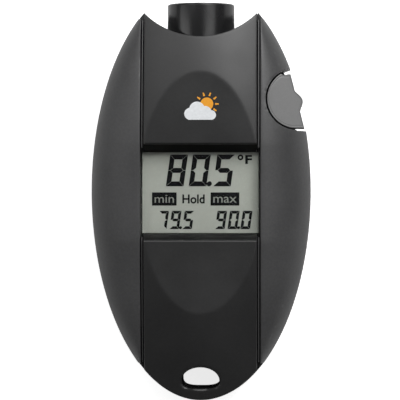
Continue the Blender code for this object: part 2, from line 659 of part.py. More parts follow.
def rocker(look, steel):
    outline = rocker_outline()
    middle = outline.mean(axis=0)
    face_z = ROCKER_TOP_Z - ROCKER_TILT * (outline[:, 0] - (ROCKER_X - ROCKER_RADIUS))
    smaller = middle + (outline - middle) * 0.95
    flat = np.full(len(outline), ROCKER_BOTTOM_Z)
    edge_z = face_z - 0.5 * MM
    rings = [np.column_stack([outline, flat]), np.column_stack([outline, edge_z])]
    rings.append(np.column_stack([smaller, face_z]))
    body = loft("thumb_rocker", np.asarray(rings) - (ROCKER_X, ROCKER_Y, 0), look)
    body.location = (ROCKER_X, ROCKER_Y, 0)

    finger = group("rocker finger")
    box("finger", (ROCKER_X - FINGER_REACH - 0.3 * MM, ROCKER_Y - FINGER_HALF_WIDTH, FINGER_Z[0]),
        (ROCKER_X - ROCKER_RADIUS + 2 * MM, ROCKER_Y + FINGER_HALF_WIDTH, FINGER_Z[1]), None, finger)
    combine(body, "UNION", finger)
    cuts = group("rocker cuts")
    post("pin hole", ROCKER_X, ROCKER_Y, PIVOT_HOLE_RADIUS, BELOW, PIVOT_HOLE_TOP, None, cuts)
    slot = 0.2 * MM
    box("leaf slot", (SPRING_X[0] - slot, ROCKER_Y - 2 * slot, BELOW),
        (SPRING_X[1] + slot, ROCKER_Y + 2 * slot, ABOVE), None, cuts)
    combine(body, "DIFFERENCE", cuts)
    post("rocker_pivot_pin", ROCKER_X, ROCKER_Y, PIVOT_PIN_RADIUS, *PIVOT_PIN_Z, steel)
    box("rocker_spring", (SPRING_X[0], ROCKER_Y - SPRING_HALF_THICK, WALL + GAP),
        (SPRING_X[1], ROCKER_Y + SPRING_HALF_THICK, SPRING_TOP), steel)


# ---------------------------------------------------------------- sensor
def sensor(barrel_look, rubber, window_look, metal, plastic, board_look):
    shoulder_y = BARREL_FRONT_Y - BORE_DEPTH
    wide, narrow = 8.6 * MM, 5.6 * MM
    edge = 0.6 * MM
    groove = (43.6 * MM, 45.0 * MM)
    profile = [
        (BARREL_RADIUS, BARREL_BACK_Y), (BARREL_RADIUS, groove[0]), (BARREL_RADIUS - MM, groove[0]),
        (BARREL_RADIUS - MM, groove[1]), (BARREL_RADIUS, groove[1]),
        (BARREL_RADIUS, BARREL_FRONT_Y - edge), (BARREL_RADIUS - edge, BARREL_FRONT_Y),
        (BORE_RADIUS, BARREL_FRONT_Y), (BORE_RADIUS, shoulder_y), (narrow, shoulder_y),
        (narrow, shoulder_y - WALL), (wide, shoulder_y - WALL), (wide, BARREL_BACK_Y),
    ]
    middle = (0, 0, BARREL_Z)
    barrel = turned("sensor_barrel", profile, barrel_look, "Y", middle, wrap=True)
    lugs = group("barrel lugs")
    for side in (-1, 1):
        near, far = sorted((side * 9.2 * MM, side * 15.0 * MM))
        box("lug", (near, 33.2 * MM, LUG_Z[0]), (far, 36.4 * MM, LUG_Z[1]), None, lugs)
    combine(barrel, "UNION", lugs)
    holes = group("lug holes")
    for x, y in BARREL_SCREWS:
        post("hole", x * MM, y * MM, SCREW_HOLE_RADIUS, LUG_Z[0] - MM, LUG_Z[1] + MM, None, holes)
    combine(barrel, "DIFFERENCE", holes)

    ring = []
    for turn in np.arange(6) * TURN / 6:
        ring.append((9.7 * MM + 0.45 * MM * math.cos(turn), 44.3 * MM + 0.45 * MM * math.sin(turn)))
    turned("barrel_seal", ring, rubber, "Y", middle, 24, wrap=True)
    front = shoulder_y + GAP
    disc = BORE_RADIUS - GAP
    turned("sensor_window", [(disc, front), (disc, front + MM)], window_look, "Y", middle, 36)
    near, far = front + 1.3 * MM, front + 2.9 * MM
    ring = [(disc, near), (disc, far), (6.4 * MM, far), (6.0 * MM, near)]
    turned("window_retaining_ring", ring, metal, "Y", middle, 36, wrap=True)
    can = [(4.6 * MM, 39.0 * MM), (4.6 * MM, 44.6 * MM), (4.0 * MM, 45.2 * MM)]
    turned("sensor_can", can, metal, "Y", middle, 24)
    holder = [(wide - GAP, 38.6 * MM), (wide - GAP, 43.4 * MM), (4.9 * MM, 43.4 * MM),
              (4.9 * MM, 38.6 * MM)]
    turned("sensor_holder", holder, plastic, "Y", middle, 32, wrap=True)
    turned("sensor_board", [(wide - GAP, 37.1 * MM), (wide - GAP, 38.3 * MM)], board_look, "Y", middle, 32)
    path = [(36.7, 8.0), (35.2, 8.0), (33.2, 9.8), (31.4, 10.6)]
    half, thin = 4.0 * MM, 0.15 * MM
    rings = []
    for y, z in path:
        y, z = y * MM, z * MM
        rings.append([(-half, y, z - thin), (half, y, z - thin), (half, y, z + thin), (-half, y, z + thin)])
    loft("sensor_ribbon", rings, plastic)


# ---------------------------------------------------------------- battery
def battery(cap_look, rubber, steel, spring_look):
    base = CELL_BASE_Z
    middle = (0, BATTERY_Y, 0)
    cell = [(CELL_RADIUS - 0.4 * MM, base), (CELL_RADIUS, base + 0.4 * MM),
            (CELL_RADIUS, base + CELL_THICK - 0.3 * MM), (CELL_RADIUS - 0.3 * MM, base + CELL_THICK)]
    turned("coin_cell", cell, steel, "Z", middle)
    low = base + CELL_THICK + GAP
    thin = 0.3 * MM
    legs = BOARD_Z[0] - GAP
    profile = [(-34.0 * MM, low), (-19.0 * MM, low), (-19.0 * MM, legs), (-19.4 * MM, legs),
               (-19.4 * MM, low + thin), (-34.0 * MM, low + thin)]
    loft("battery_contact_negative", [[(x, y, z) for y, z in profile] for x in (-2.5 * MM, 2.5 * MM)],
         spring_look)
    near = BATTERY_Y + CELL_RADIUS + GAP
    box("battery_contact_positive", (-3 * MM, near, base), (3 * MM, near + 0.4 * MM, legs), spring_look)

    face = 0.2 * MM
    profile = [(CAP_RADIUS - 0.3 * MM, face), (CAP_RADIUS, face + 0.3 * MM), (CAP_RADIUS, face + MM),
               (CAP_HUB_RADIUS, face + MM), (CAP_HUB_RADIUS, CAP_TOP_Z)]
    cap = turned("battery_cap", profile, cap_look)
    cap.location = middle
    lugs = group("cap lugs")
    for turn in (0, 180):
        outline = bayonet_sector(CAP_HUB_RADIUS - MM, CAP_LUG_RADIUS, CAP_LUG_HALF_ANGLE, turn)
        prism("lug", outline, CAP_BOSS_TOP + GAP, CAP_TOP_Z, None, lugs)
    combine(cap, "UNION", lugs)
    slot = group("cap slot")
    box("coin slot", (-7.5 * MM, BATTERY_Y - 0.9 * MM, BELOW), (7.5 * MM, BATTERY_Y + 0.9 * MM, 1.3 * MM),
        None, slot)
    combine(cap, "DIFFERENCE", slot)
    seal = [(11.1 * MM, 1.4 * MM), (12.0 * MM, 1.4 * MM), (12.0 * MM, 1.75 * MM), (11.1 * MM, 1.75 * MM)]
    turned("battery_cap_seal", seal, rubber, "Z", middle, 36, wrap=True)


# ---------------------------------------------------------------- fasteners
def screw(name, place, look, length, head_z, up):
    """A pan-head screw with its head at head_z and its point up or down."""
    tip = 0.6 * MM
    profile = [
        (SCREW_HEAD_RADIUS * 0.7, 0), (SCREW_HEAD_RADIUS, 0.4 * MM),
        (SCREW_HEAD_RADIUS, SCREW_HEAD_THICK), (SCREW_RADIUS, SCREW_HEAD_THICK),
        (SCREW_RADIUS, length - tip), (SCREW_RADIUS * 0.4, length),
    ]
    if not up:
        profile = [(radius, -height) for radius, height in profile]
    made = turned(name, profile, look, sides=12)
    made.location = (place[0], place[1], head_z)
    return made


def fasteners(look):
    seat = COUNTERBORE_DEPTH - GAP - SCREW_HEAD_THICK
    for name, places in CASE_SCREWS.items():
        for number, (x, y) in enumerate(places, 1):
            screw(f"{name}_{number}", (x * MM, y * MM), look, 12.0 * MM, seat, up=True)
    head = BOARD_Z[1] + GAP + SCREW_HEAD_THICK
    for number, (x, y) in enumerate(BOARD_SCREWS, 1):
        screw(f"board_screw_{number}", (x * MM, y * MM), look, 7.0 * MM, head, up=False)
    head = LUG_Z[1] + GAP + SCREW_HEAD_THICK
    for number, (x, y) in enumerate(BARREL_SCREWS, 1):
        screw(f"barrel_screw_{number}", (x * MM, y * MM), look, 9.0 * MM, head, up=False)


def main():
    clear_scene()
    black = material("black moulded plastic", (0.035, 0.035, 0.036), 0.55)
    soft = material("black side covers", (0.045, 0.045, 0.046), 0.6)
    gloss = material("black barrel", (0.02, 0.02, 0.021), 0.3)
    grey = material("grey rocker plastic", (0.21, 0.21, 0.21), 0.5)
    glass = material("clear lens", (0.9, 0.92, 0.9), 0.05, transmission=1.0)
    cell = material("display grey", (0.3, 0.31, 0.28), 0.35)
    rubber = material("black rubber", (0.02, 0.02, 0.02), 0.8)
    white = material("white plastic", (0.7, 0.7, 0.68), 0.5)
    board = material("green board", (0.03, 0.16, 0.06), 0.45)
    chip = material("chip plastic", (0.015, 0.015, 0.015), 0.5)
    steel = material("bright steel", (0.6, 0.6, 0.6), 0.25, metallic=1.0)
    brass = material("plated brass", (0.72, 0.6, 0.3), 0.3, metallic=1.0)
    filter_glass = material("filter glass", (0.03, 0.02, 0.03), 0.1)

    rear_case(black)
    side_cover("left_side_cover", -1, soft)
    side_cover("right_side_cover", 1, soft)
    front_panel(black)
    display(glass, cell, rubber, white)
    electronics(board, chip, steel, white)
    rocker(grey, steel)
    sensor(gloss, rubber, filter_glass, steel, white, board)
    battery(black, rubber, steel, brass)
    fasteners(steel)


main()
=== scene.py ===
"""Fine surfaces, materials, light and camera for a handheld weather meter.

Everything is in metres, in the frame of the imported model: +Z comes out of the display, +Y points
to the sensor barrel and +X is to the right of the display. Each piece is a surface worked out with
arrays, stands for one sub-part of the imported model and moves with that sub-part's body.
"""

import json
import math

import bmesh
import bpy
import numpy as np
from bpy.props import FloatProperty, FloatVectorProperty, PointerProperty
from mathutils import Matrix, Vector


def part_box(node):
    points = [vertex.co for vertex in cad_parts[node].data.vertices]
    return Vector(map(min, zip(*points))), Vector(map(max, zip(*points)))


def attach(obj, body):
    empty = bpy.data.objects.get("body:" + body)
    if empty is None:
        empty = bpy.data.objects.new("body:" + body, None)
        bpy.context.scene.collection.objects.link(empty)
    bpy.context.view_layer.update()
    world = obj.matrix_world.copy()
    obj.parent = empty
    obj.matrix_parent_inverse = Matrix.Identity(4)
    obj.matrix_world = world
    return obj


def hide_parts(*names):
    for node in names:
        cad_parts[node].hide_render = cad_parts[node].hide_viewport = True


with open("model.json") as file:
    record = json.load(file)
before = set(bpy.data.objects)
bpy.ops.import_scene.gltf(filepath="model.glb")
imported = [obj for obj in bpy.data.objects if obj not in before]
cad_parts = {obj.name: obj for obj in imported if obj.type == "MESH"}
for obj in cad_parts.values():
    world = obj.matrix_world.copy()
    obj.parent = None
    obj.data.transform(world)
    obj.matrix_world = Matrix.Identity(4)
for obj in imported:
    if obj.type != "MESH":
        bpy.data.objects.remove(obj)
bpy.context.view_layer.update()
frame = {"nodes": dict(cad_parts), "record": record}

bl_info = {
    "name": "Handheld Weather Meter",
    "version": (1, 0, 0),
    "blender": (4, 5, 0),
    "location": "View3D > Sidebar > Meter",
    "description": "Builds the pieces, materials and studio of a handheld weather meter",
    "category": "Object",
}

MM = 0.001
TURN = 2 * math.pi
GAP = 0.3 * MM  # clearance between pieces
BELOW = -2.0 * MM  # cutters start under the back face
ABOVE = 30.0 * MM  # and end above the front
PRINT = 0.02 * MM  # thickness of printed ink


def mm(*values):
    """Millimetres as metres."""
    return tuple(value * MM for value in values)


def node_box(name):
    """Lowest and highest corners of a sub-part, as arrays."""
    return [np.array(corner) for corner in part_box(name)]


CASE = node_box("rear_case")
PANEL = node_box("front_panel")
WING = node_box("right_side_cover")
LENS = node_box("display_lens")
CELL = node_box("lcd_cell")
BARREL = node_box("sensor_barrel")
ROCKER = node_box("thumb_rocker")
PIN = node_box("rocker_pivot_pin")
CAP = node_box("battery_cap")

# ---------------------------------------------------------------- dimensions shared by the pieces
WALL = 1.8 * MM
BACK_ROUND = 5.0 * MM
EDGE_ROUND = 0.3 * MM  # edge radius of the centre panel
CASE_LIP = 0.25 * MM  # edge radius of the case's upper rim
EYE_WALL = 1.4 * MM
PARTING_Z = CASE[1][2]
COVER_Z = PARTING_Z + GAP  # lower edge of the front covers
PANEL_HALF_WIDTH = PANEL[1][0]
PANEL_END_INSET = 0.5 * MM
PANEL_WALL = 1.6 * MM
PLATEAU_HALF_WIDTH = 18.3 * MM
PLATEAU_HALF_LENGTH = 35.8 * MM
PLATEAU_Y = -0.5 * MM
CREASE = 0.014  # softness of the plateau's edge
TOP_ARC_RADIUS = 23.2 * MM
TOP_ARC_Y = 69.0 * MM
SKIRT_Z = 17.0 * MM
SKIRT_Y = mm(-42.0, 36.0)
UPPER_ROOM_Y = 15.7 * MM  # start of the hollow under the upper pad
LOWER_ROOM_Y = mm(-50.4, -16.5)  # ends of the hollow under the lower pad

WING_INNER_X = PANEL_HALF_WIDTH + MM
WING_END_Y = WING[1][1]
WING_STEP = 1.0 * MM
WING_LIP = 0.7 * MM
WING_ROUND = 1.5
WING_WALL = 1.6 * MM
WING_EDGE = 0.4 * MM
WING_EDGE_REACH = 20 * MM  # a narrower cover has a narrower rounded edge
WING_LEAST = 0.2 * MM  # least height of a side cover's outer edge
WING_ROOM_Y = 44 * MM  # half length of its hollow
LEDGE_X = WING[0][0]
LEDGE_Y = mm(-41.5, 35.5)
LEDGE_Z = mm(15.7, 16.7)
STRIP_X = mm(17.08, 17.42)  # thin upright strip along the middle of each groove
STRIP_STEP = 1.5 * MM  # below the panel's edge

RIM_Y = mm(-14.7, 13.9)  # display channel at the plateau
LIP_Y = mm(-12.7, 11.6)  # and where its slopes end over the lens
LIP_Z = LENS[1][2] + GAP
SEAT_Y = (LENS[0][1] - GAP, LENS[1][1] + GAP)
SEAT_Z = CELL[0][2] - GAP
SEAT_WALL = 1.5 * MM
APERTURE = mm(-14, -11), mm(14, 10.5)  # corners of the opening under the display
RIM_ROUND = 0.4 * MM
INLAY_START = 0.14  # share of the slope between the rim and the inlay
INLAY_THICK = 0.05 * MM

PIVOT_X = (PIN[0][0] + PIN[1][0]) / 2
PIVOT_Y = (PIN[0][1] + PIN[1][1]) / 2
PIN_HOLE = 1.2 * MM
PIN_HOLE_Z = mm(4.6, 15.5)  # its foot in the shelf and its top in the rocker
ROCKER_RADIUS = 8.75 * MM
NOTCH_RADIUS = 9.2 * MM
NOTCH_LOW = 9.5 * MM
FACE_TOP = np.array([26.75, 34.75]) * MM
FACE_BOTTOM = np.array([30.9, 18.65]) * MM
NUB_HEIGHT = 1.6 * MM
NUB_HALF_WIDTH = 3.3 * MM
NUB_POWER = 1.4  # of the cosine that shapes it
SHELF_Z = mm(4.0, 6.6)  # the case's shelf under the rocker
SHELF_RADIUS = NOTCH_RADIUS + 0.9 * MM
SHELF_ENDS = (115.0, 268.0)  # degrees round the pivot
SHELF_NOSE = 1.75 * MM
ROCKER_FILLET = 0.35 * MM
RIM_STEPS = [mm(0.5, 0.0), mm(0.66, 0.14), mm(0.8, 0.14), mm(1.0, 0.06), mm(1.15, 0.06),
             mm(1.5, 0.06)]  # distance in from the rocker's edge, and depth
END_DIP = mm(24.9, 36.15)  # a shallow dip in its upper end
END_DIP_RADIUS = 1.75 * MM
ROCKER_TILT = 0.4  # its face falls this much for each step outwards
FINGER_HALF_WIDTH = 1.2 * MM
FINGER_ROOT = 2 * MM  # how far the finger runs into the rocker
FINGER_Z = mm(12.6, 14.6)
FINGER_WINDOW = mm(16.0, 21.5, 2.95)  # inner end, outer end and half width
LEAF_SLOT = mm(16.0, 17.4, 0.4)  # the same, of the spring's slot

BARREL_Z = 12.3 * MM
BARREL_RADIUS = BARREL[1][2] - BARREL_Z
BARREL_FRONT_Y = BARREL[1][1]
BARREL_BACK_Y = BARREL[0][1]
BARREL_MIDDLE = (0, 0, BARREL_Z)
BARREL_ROUND, MOUTH_ROUND = mm(0.6, 0.3)
BORE_RADIUS = 8.2 * MM
BORE_DEPTH = 9.0 * MM
TUBE_WIDE, TUBE_NARROW = mm(8.6, 5.6)  # radii behind the window and at its seat
SEAL_GROOVE_Y = mm(43.6, 45.0)
BARREL_LUG = mm(9.2, 33.2, 10.3), mm(36.4, 13.3)
BARREL_HOLE_Z = mm(9.0, 15.0)
FILTER_EDGE = 0.12 * MM
RING_EDGE = 0.15 * MM
RING_BORE = mm(6.5, 6.35, 6.0)

LANYARD_Y = -56.3 * MM
LANYARD_HALF_WIDTH = 5.6 * MM
LANYARD_RISE = 4.0 * MM
LANYARD_DROP = 2.6 * MM
LANYARD_ROUND = 0.7 * MM

BATTERY_Y = (CAP[0][1] + CAP[1][1]) / 2
BATTERY = (0, BATTERY_Y, 0)
CAP_RADIUS = CAP[1][0]
CAP_EDGE = 0.35 * MM
CAP_HUB_RADIUS = 10.7 * MM
CAP_HUB_CHAMFER = 0.2 * MM
CAP_DISH = mm(8.6, 8.9)  # radii of the shallow dish in its face
CAP_SEAT = mm(15.5, 2.8)  # radius and top of the floor round it
CAP_REBATE_DEPTH = 1.9 * MM
CAP_BORE_DEPTH = 4.0 * MM
CAP_TURN = 60.0
LUG_Z = 3.1 * MM
LUG, LUG_WAY = (12.5 * MM, 15.0), (12.8 * MM, 18.0)  # radius and half angle in degrees
COIN_SLOT = mm(7.5, 0.9, 1.3)  # half length, half width and depth
CELL_WELL = mm(13.7, 14.9), mm(2.0, 8.0)  # radii and heights

CASE_SCREWS = ["wing_screw_1", "wing_screw_2", "wing_screw_3", "wing_screw_4",
               "panel_screw_1", "panel_screw_2", "panel_screw_3", "panel_screw_4"]
SCREW_HOLE = 1.3 * MM
SCREW_HOLE_TOP = 17.0 * MM
SCREW_POST = 2.8 * MM
BOSS_RADIUS = 2.4 * MM
COUNTERBORE_DEPTH = 5.5 * MM
COUNTERBORE_EDGE = 0.4 * MM
HEAD_HEIGHT = 1.2 * MM
HEAD_ROUND = 0.45 * MM
SHANK = 1.0 * MM
THREAD_DEPTH, THREAD_STEP, THREAD_START = mm(0.12, 0.3, 0.6)
THREAD_STEPS = 18
CROSS = mm(1.15, 0.22, 0.7)  # half length, half width and depth of its recess

# ---------------------------------------------------------------- what the display shows
MAIN_AT, MAIN_BAR = mm(-10.25, 1.35), mm(5.25, 1.45)  # lower left corner, digit and bar widths
MAIN_SIGNS = [("8", 0.0), ("0", 6.75 * MM), (".", 12.75 * MM), ("5", 13.95 * MM)]
SMALL_Y, SMALL_BAR = -11.3 * MM, mm(2.85, 0.84)
SMALL_PLACES = mm(0.0, 3.7, 6.95, 7.5)
SMALL_READINGS = [("lowest_reading", -12.9 * MM, "79.5"), ("highest_reading", 4.3 * MM, "90.0")]
DEGREE_AT, DEGREE_RADII = mm(11.85, 9.9), mm(0.86, 0.34)
SIGNS = [("scale_letter", "F", mm(13.25, 7.95), mm(15.25, 10.6), 0.035),
         ("hold_sign", "Hold", mm(-5.35, -3.75), mm(1.25, -1.05), 0.025)]
PLATES = [("min", mm(-14.35, -7.05), -1.2 * MM), ("max", mm(3.0, 11.5), -1.75 * MM)]
PLATE_Y = mm(-4.35, -0.45)
LETTER_MARGIN, LETTER_FOOT = mm(0.8, -3.5)
BORDER_Y = mm(11.45, -12.45)  # where the window's printed border starts

SUN_AT, SUN_RADIUS = mm(2.0, 25.6), 1.9 * MM
RAYS, RAY_ENDS, RAY_HALF_WIDTH = 10, mm(2.45, 3.5), 0.28 * MM
CLOUD_BASE = mm(-4.0, 20.95), mm(4.0, 22.6), 0.8 * MM
CLOUD_PUFFS = [mm(-2.9, 22.7, 1.75), mm(-0.9, 24.0, 2.3), mm(1.5, 23.1, 1.9), mm(3.3, 22.35, 1.4)]

# ---------------------------------------------------------------- studio, in metres
CAMERA_X, CAMERA_Y = 0.019, -0.0027
CAMERA_PAST = 0.00036  # how far past the axis it looks, at the parting line
FOCAL_LENGTH, SENSOR_WIDTH = 247.5, 36.0  # in millimetres
LIGHTS = [("main softbox", (0.30, 0.62, 0.62), (0.6, 0.6), "main_power"),
          ("fill softbox", (-0.40, 0.58, 0.70), (0.45, 0.6), "fill_power"),
          ("right strip", (0.364, 0.105, 0.63), (0.07, 0.5), "strip_power"),
          ("left strip", (-0.595, 0.105, 0.412), (0.07, 0.5), "strip_power")]
LIT_POINT = (0, 0, 0.01)
TABLE_HALF = 3.0


# ---------------------------------------------------------------- properties a user would change
def length(name, description, default):
    return FloatProperty(name=name, description=description, default=default, unit="LENGTH",
                         precision=5)


def factor(name, description, default, highest=1.0):
    return FloatProperty(name=name, description=description, default=default, min=0.0, max=highest)


def colour(name, description, default):
    return FloatVectorProperty(name=name, description=description, default=default, size=3,
                               min=0.0, max=1.0, subtype="COLOR")


class MeterBody(bpy.types.PropertyGroup):
    half_width: length("Half width", "Half the body's width", CASE[1][0])
    half_length: length("Half length", "Half the body's length", -CASE[0][1])
    front_z: length("Front height", "Height of the flat oval plateau", PANEL[1][2] - PRINT)
    crown_fall: length("Crown fall", "How fast the panel falls away outside the plateau", 3.5 * MM)


class MeterDisplay(bpy.types.PropertyGroup):
    main_height: length("Main digit height", "Height of the large reading", 9.4 * MM)
    small_height: length("Small digit height", "Height of the two lower readings", 5.4 * MM)
    lean: FloatProperty(name="Lean", description="How far the digits lean", subtype="ANGLE",
                        default=math.radians(8))
    ground: colour("Ground", "Colour of the display between its segments", (0.235, 0.235, 0.22))
    segment: colour("Segments", "Colour of a segment that is on", (0.004, 0.004, 0.005))


class MeterFinish(bpy.types.PropertyGroup):
    panel: colour("Panel", "Colour of the centre panel and the rear case", (0.016, 0.016, 0.0163))
    wings: colour("Side covers", "Colour of the side covers", (0.05, 0.05, 0.051))
    barrel: colour("Barrel", "Colour of the sensor barrel", (0.008, 0.008, 0.0085))
    rocker: colour("Rocker", "Colour of the thumb rocker", (0.2, 0.2, 0.2))
    roughness: factor("Roughness", "Roughness of the moulded plastic", 0.42)
    grain: factor("Grain depth", "Strength of the moulded grain", 0.5)


class MeterStudio(bpy.types.PropertyGroup):
    distance: length("Camera distance", "Height of the camera above the back face", 0.836)
    main_power: factor("Main light", "Power of the soft main light in watts", 7.9, 100.0)
    fill_power: factor("Fill light", "Power of the soft fill light in watts", 2.0, 100.0)
    strip_power: factor("Strip lights", "Power of each tall narrow light in watts", 0.45, 100.0)
    surround: factor("Surround", "Brightness of the room round the table", 0.12, 5.0)
    floor_glow: factor("Floor glow", "How much the floor shines towards the camera", 0.8, 2.0)


def body():
    return bpy.context.scene.meter_body


def finish():
    return bpy.context.scene.meter_finish


# ---------------------------------------------------------------- meshes from arrays
def grid_quads(rows, columns, wrap_rows=False, wrap_columns=False):
    """Four-cornered faces of a grid whose points are numbered row by row."""
    index = np.arange(rows * columns).reshape(rows, columns)
    if wrap_columns:
        index = np.concatenate([index, index[:, :1]], axis=1)
    if wrap_rows:
        index = np.concatenate([index, index[:1]], axis=0)
    corners = [index[:-1, :-1], index[:-1, 1:], index[1:, 1:], index[1:, :-1]]
    return np.stack(corners, axis=-1).reshape(-1, 4)


def shade(mesh, sharp):
    mesh.shade_smooth()
    mesh.set_sharp_from_angle(angle=math.radians(sharp))


def show(name, data):
    """An object for the data, linked to the scene."""
    made = bpy.data.objects.new(name, data)
    bpy.context.scene.collection.objects.link(made)
    return made


def face_outwards(mesh, merge=0.0):
    """Turns every face outwards, once points closer than merge are one."""
    work = bmesh.new()
    work.from_mesh(mesh)
    if merge:
        bmesh.ops.remove_doubles(work, verts=work.verts, dist=merge)
    bmesh.ops.recalc_face_normals(work, faces=work.faces)
    work.to_mesh(mesh)
    work.free()


def solid(name, points, quads, caps=(), look=None, sharp=32):
    """A closed mesh from points, four-cornered faces and many-cornered caps, facing outwards."""
    mesh = bpy.data.meshes.new(name)
    faces = quads.tolist() + [[int(corner) for corner in cap] for cap in caps]
    mesh.from_pydata(np.asarray(points, float).reshape(-1, 3).tolist(), [], faces)
    face_outwards(mesh)
    shade(mesh, sharp)
    if look:
        mesh.materials.append(look)
    return show(name, mesh)


def loft(name, rings, look=None, wrap=False, sharp=32):
    """Skins equal rings of points in order, and caps both ends or joins the last to the first."""
    rings = np.asarray(rings, float)
    count, sides = rings.shape[:2]
    quads = grid_quads(count, sides, wrap_rows=wrap, wrap_columns=True)
    caps = [] if wrap else [range(sides)[::-1], range((count - 1) * sides, count * sides)]
    return solid(name, rings, quads, caps, look, sharp)


def turned(name, profile, look=None, along="Z", centre=(0, 0, 0), sides=96, wrap=False, sharp=32):
    """Every (radius, height) of the profile swept round a line through centre, along Z or Y."""
    profile = np.asarray(profile, float)
    turn = np.arange(sides) * TURN / sides
    across = profile[:, :1] * np.cos(turn)
    around = profile[:, :1] * np.sin(turn)
    height = np.broadcast_to(profile[:, 1:], across.shape)
    columns = [across, around, height] if along == "Z" else [across, height, around]
    return loft(name, np.stack(columns, axis=-1) + np.asarray(centre), look, wrap, sharp)


def prism(name, outline, low, high, look=None, sharp=32):
    """An outline in X and Y carried straight up from z = low to z = high."""
    outline = np.asarray(outline, float)
    rings = [np.column_stack([outline, np.full(len(outline), z)]) for z in (low, high)]
    return loft(name, rings, look, sharp=sharp)


def circle(radius, x=0.0, y=0.0, sides=96):
    turn = np.arange(sides) * TURN / sides
    return np.column_stack([x + radius * np.cos(turn), y + radius * np.sin(turn)])


def post(name, x, y, radius, low=BELOW, high=ABOVE, sides=48):
    return prism(name, circle(radius, x, y, sides), low, high)


def posts(name, spots, radius, high=ABOVE):
    return [post(name, *spot, radius, high=high) for spot in spots]


def chamfered_hole(name, radius, chamfer, depth, centre, sides):
    """A cutter from the back with a chamfered mouth."""
    mouth = radius + 0.5 * MM
    profile = [(mouth, BELOW), (radius + chamfer, 0), (radius, chamfer), (radius, depth)]
    return turned(name, profile, None, "Z", centre, sides)


def block(name, low, high):
    outline = [(low[0], low[1]), (high[0], low[1]), (high[0], high[1]), (low[0], high[1])]
    return prism(name, outline, low[2], high[2])


def rounded_rectangle(low, high, corner, count=7):
    """A rectangle whose corners are quarter circles, as points in order."""
    quarter = np.linspace(0, math.pi / 2, count)
    angles = quarter + np.arange(4)[:, None] * math.pi / 2
    far_x, far_y = high[0] - corner, high[1] - corner
    near_x, near_y = low[0] + corner, low[1] + corner
    centres = np.array([[far_x, far_y], [near_x, far_y], [near_x, near_y], [far_x, near_y]])
    arcs = corner * np.stack([np.cos(angles), np.sin(angles)], axis=-1)
    return (centres[:, None] + arcs).reshape(-1, 2)


def slab(name, low, high, corner, edge, look=None):
    """A flat block: rounded rectangles whose inset follows a quarter circle at both faces."""
    angle = np.linspace(0, math.pi / 2, 5)
    inset = edge * (1 - np.sin(angle))
    lift = edge * (1 - np.cos(angle))
    insets = np.concatenate([inset, inset[::-1]])
    heights = np.concatenate([low[2] + lift, high[2] - lift[::-1]])
    low, high = np.asarray(low), np.asarray(high)
    rings = []
    for inwards, z in zip(insets, heights):
        outline = rounded_rectangle(low[:2] + inwards, high[:2] - inwards, corner)
        rings.append(np.column_stack([outline, np.full(len(outline), z)]))
    return loft(name, rings, look)


def patch_solid(name, x, y, top, bottom, look=None, sharp=32):
    """A curved top over a grid of points x, y, closed by upright sides and a level bottom."""
    rows, columns = x.shape
    upper = np.stack([x, y, top], axis=-1).reshape(-1, 3)
    index = np.arange(rows * columns).reshape(rows, columns)
    rim = np.concatenate([index[0, :-1], index[:-1, -1], index[-1, :0:-1], index[:0:-1, 0]])
    lower = upper[rim]
    lower[:, 2] = bottom
    foot = len(upper) + np.arange(len(rim))
    sides = np.stack([rim, np.roll(rim, -1), np.roll(foot, -1), foot], axis=-1)
    quads = np.concatenate([grid_quads(rows, columns), sides])
    return solid(name, np.concatenate([upper, lower]), quads, [foot], look, sharp)


def combine(target, operation, helpers, sharp=32):
    """Joins the helpers to the target or cuts them from it, keeps the result and drops them."""
    group = bpy.data.collections.new("helpers")
    bpy.context.scene.collection.children.link(group)
    for helper in helpers:
        bpy.context.scene.collection.objects.unlink(helper)
        group.objects.link(helper)
    change = target.modifiers.new("Boolean", "BOOLEAN")
    change.operation = operation
    change.solver = "EXACT"
    change.operand_type = "COLLECTION"
    change.collection = group
    graph = bpy.context.evaluated_depsgraph_get()
    made = bpy.data.meshes.new_from_object(target.evaluated_get(graph))
    target.modifiers.remove(change)
    made.name = target.name
    target.data = made
    for helper in helpers:
        bpy.data.meshes.remove(helper.data)
    bpy.data.collections.remove(group)
    shade(made, sharp)
    return target


def place(piece, on_body, slot, *nodes):
    """Moves a piece with its body and hides the sub-parts it stands for."""
    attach(piece, on_body)
    if nodes:
        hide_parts(*nodes)
    return piece


# ---------------------------------------------------------------- shapes of the body
def outline_x(y, inset=0.0):
    """Half the oval body's width at y: an ellipse."""
    reach = 1 - (y / (body().half_length - inset)) ** 2
    return (body().half_width - inset) * np.sqrt(np.maximum(reach, 0))


def outline_y(x, inset=0.0):
    """Half the oval body's length at x."""
    return (body().half_length - inset) * np.sqrt(1 - (x / (body().half_width - inset)) ** 2)


def top_arc_y(x, inset=0.0):
    """The hollow upper edge round the barrel, part of a circle."""
    return TOP_ARC_Y - np.sqrt((TOP_ARC_RADIUS + inset) ** 2 - x**2)


def panel_height(x, y):
    """Level inside an oval, and falling with the square of the oval distance outside it.

    The larger of the two is taken softly, as half of f plus the root of f squared plus a little,
    so the plateau ends in a soft crease.
    """
    fall = (x / PLATEAU_HALF_WIDTH) ** 2 + ((y - PLATEAU_Y) / PLATEAU_HALF_LENGTH) ** 2 - 1
    return body().front_z - body().crown_fall * (fall + np.sqrt(fall**2 + CREASE**2)) / 2


def wing_height(x, y, inset=0.0):
    """From just below the panel's edge down to the outline, as the root of 1 - reach ^ 1.5."""
    inner_x = WING_INNER_X + inset
    reach = np.clip((x - inner_x) / (outline_x(y, inset) - inner_x), 0, 1)
    inner = panel_height(PANEL_HALF_WIDTH, y) - WING_STEP - inset
    foot = COVER_Z + WING_LIP
    return foot + (inner - foot) * np.sqrt(1 - reach**WING_ROUND)


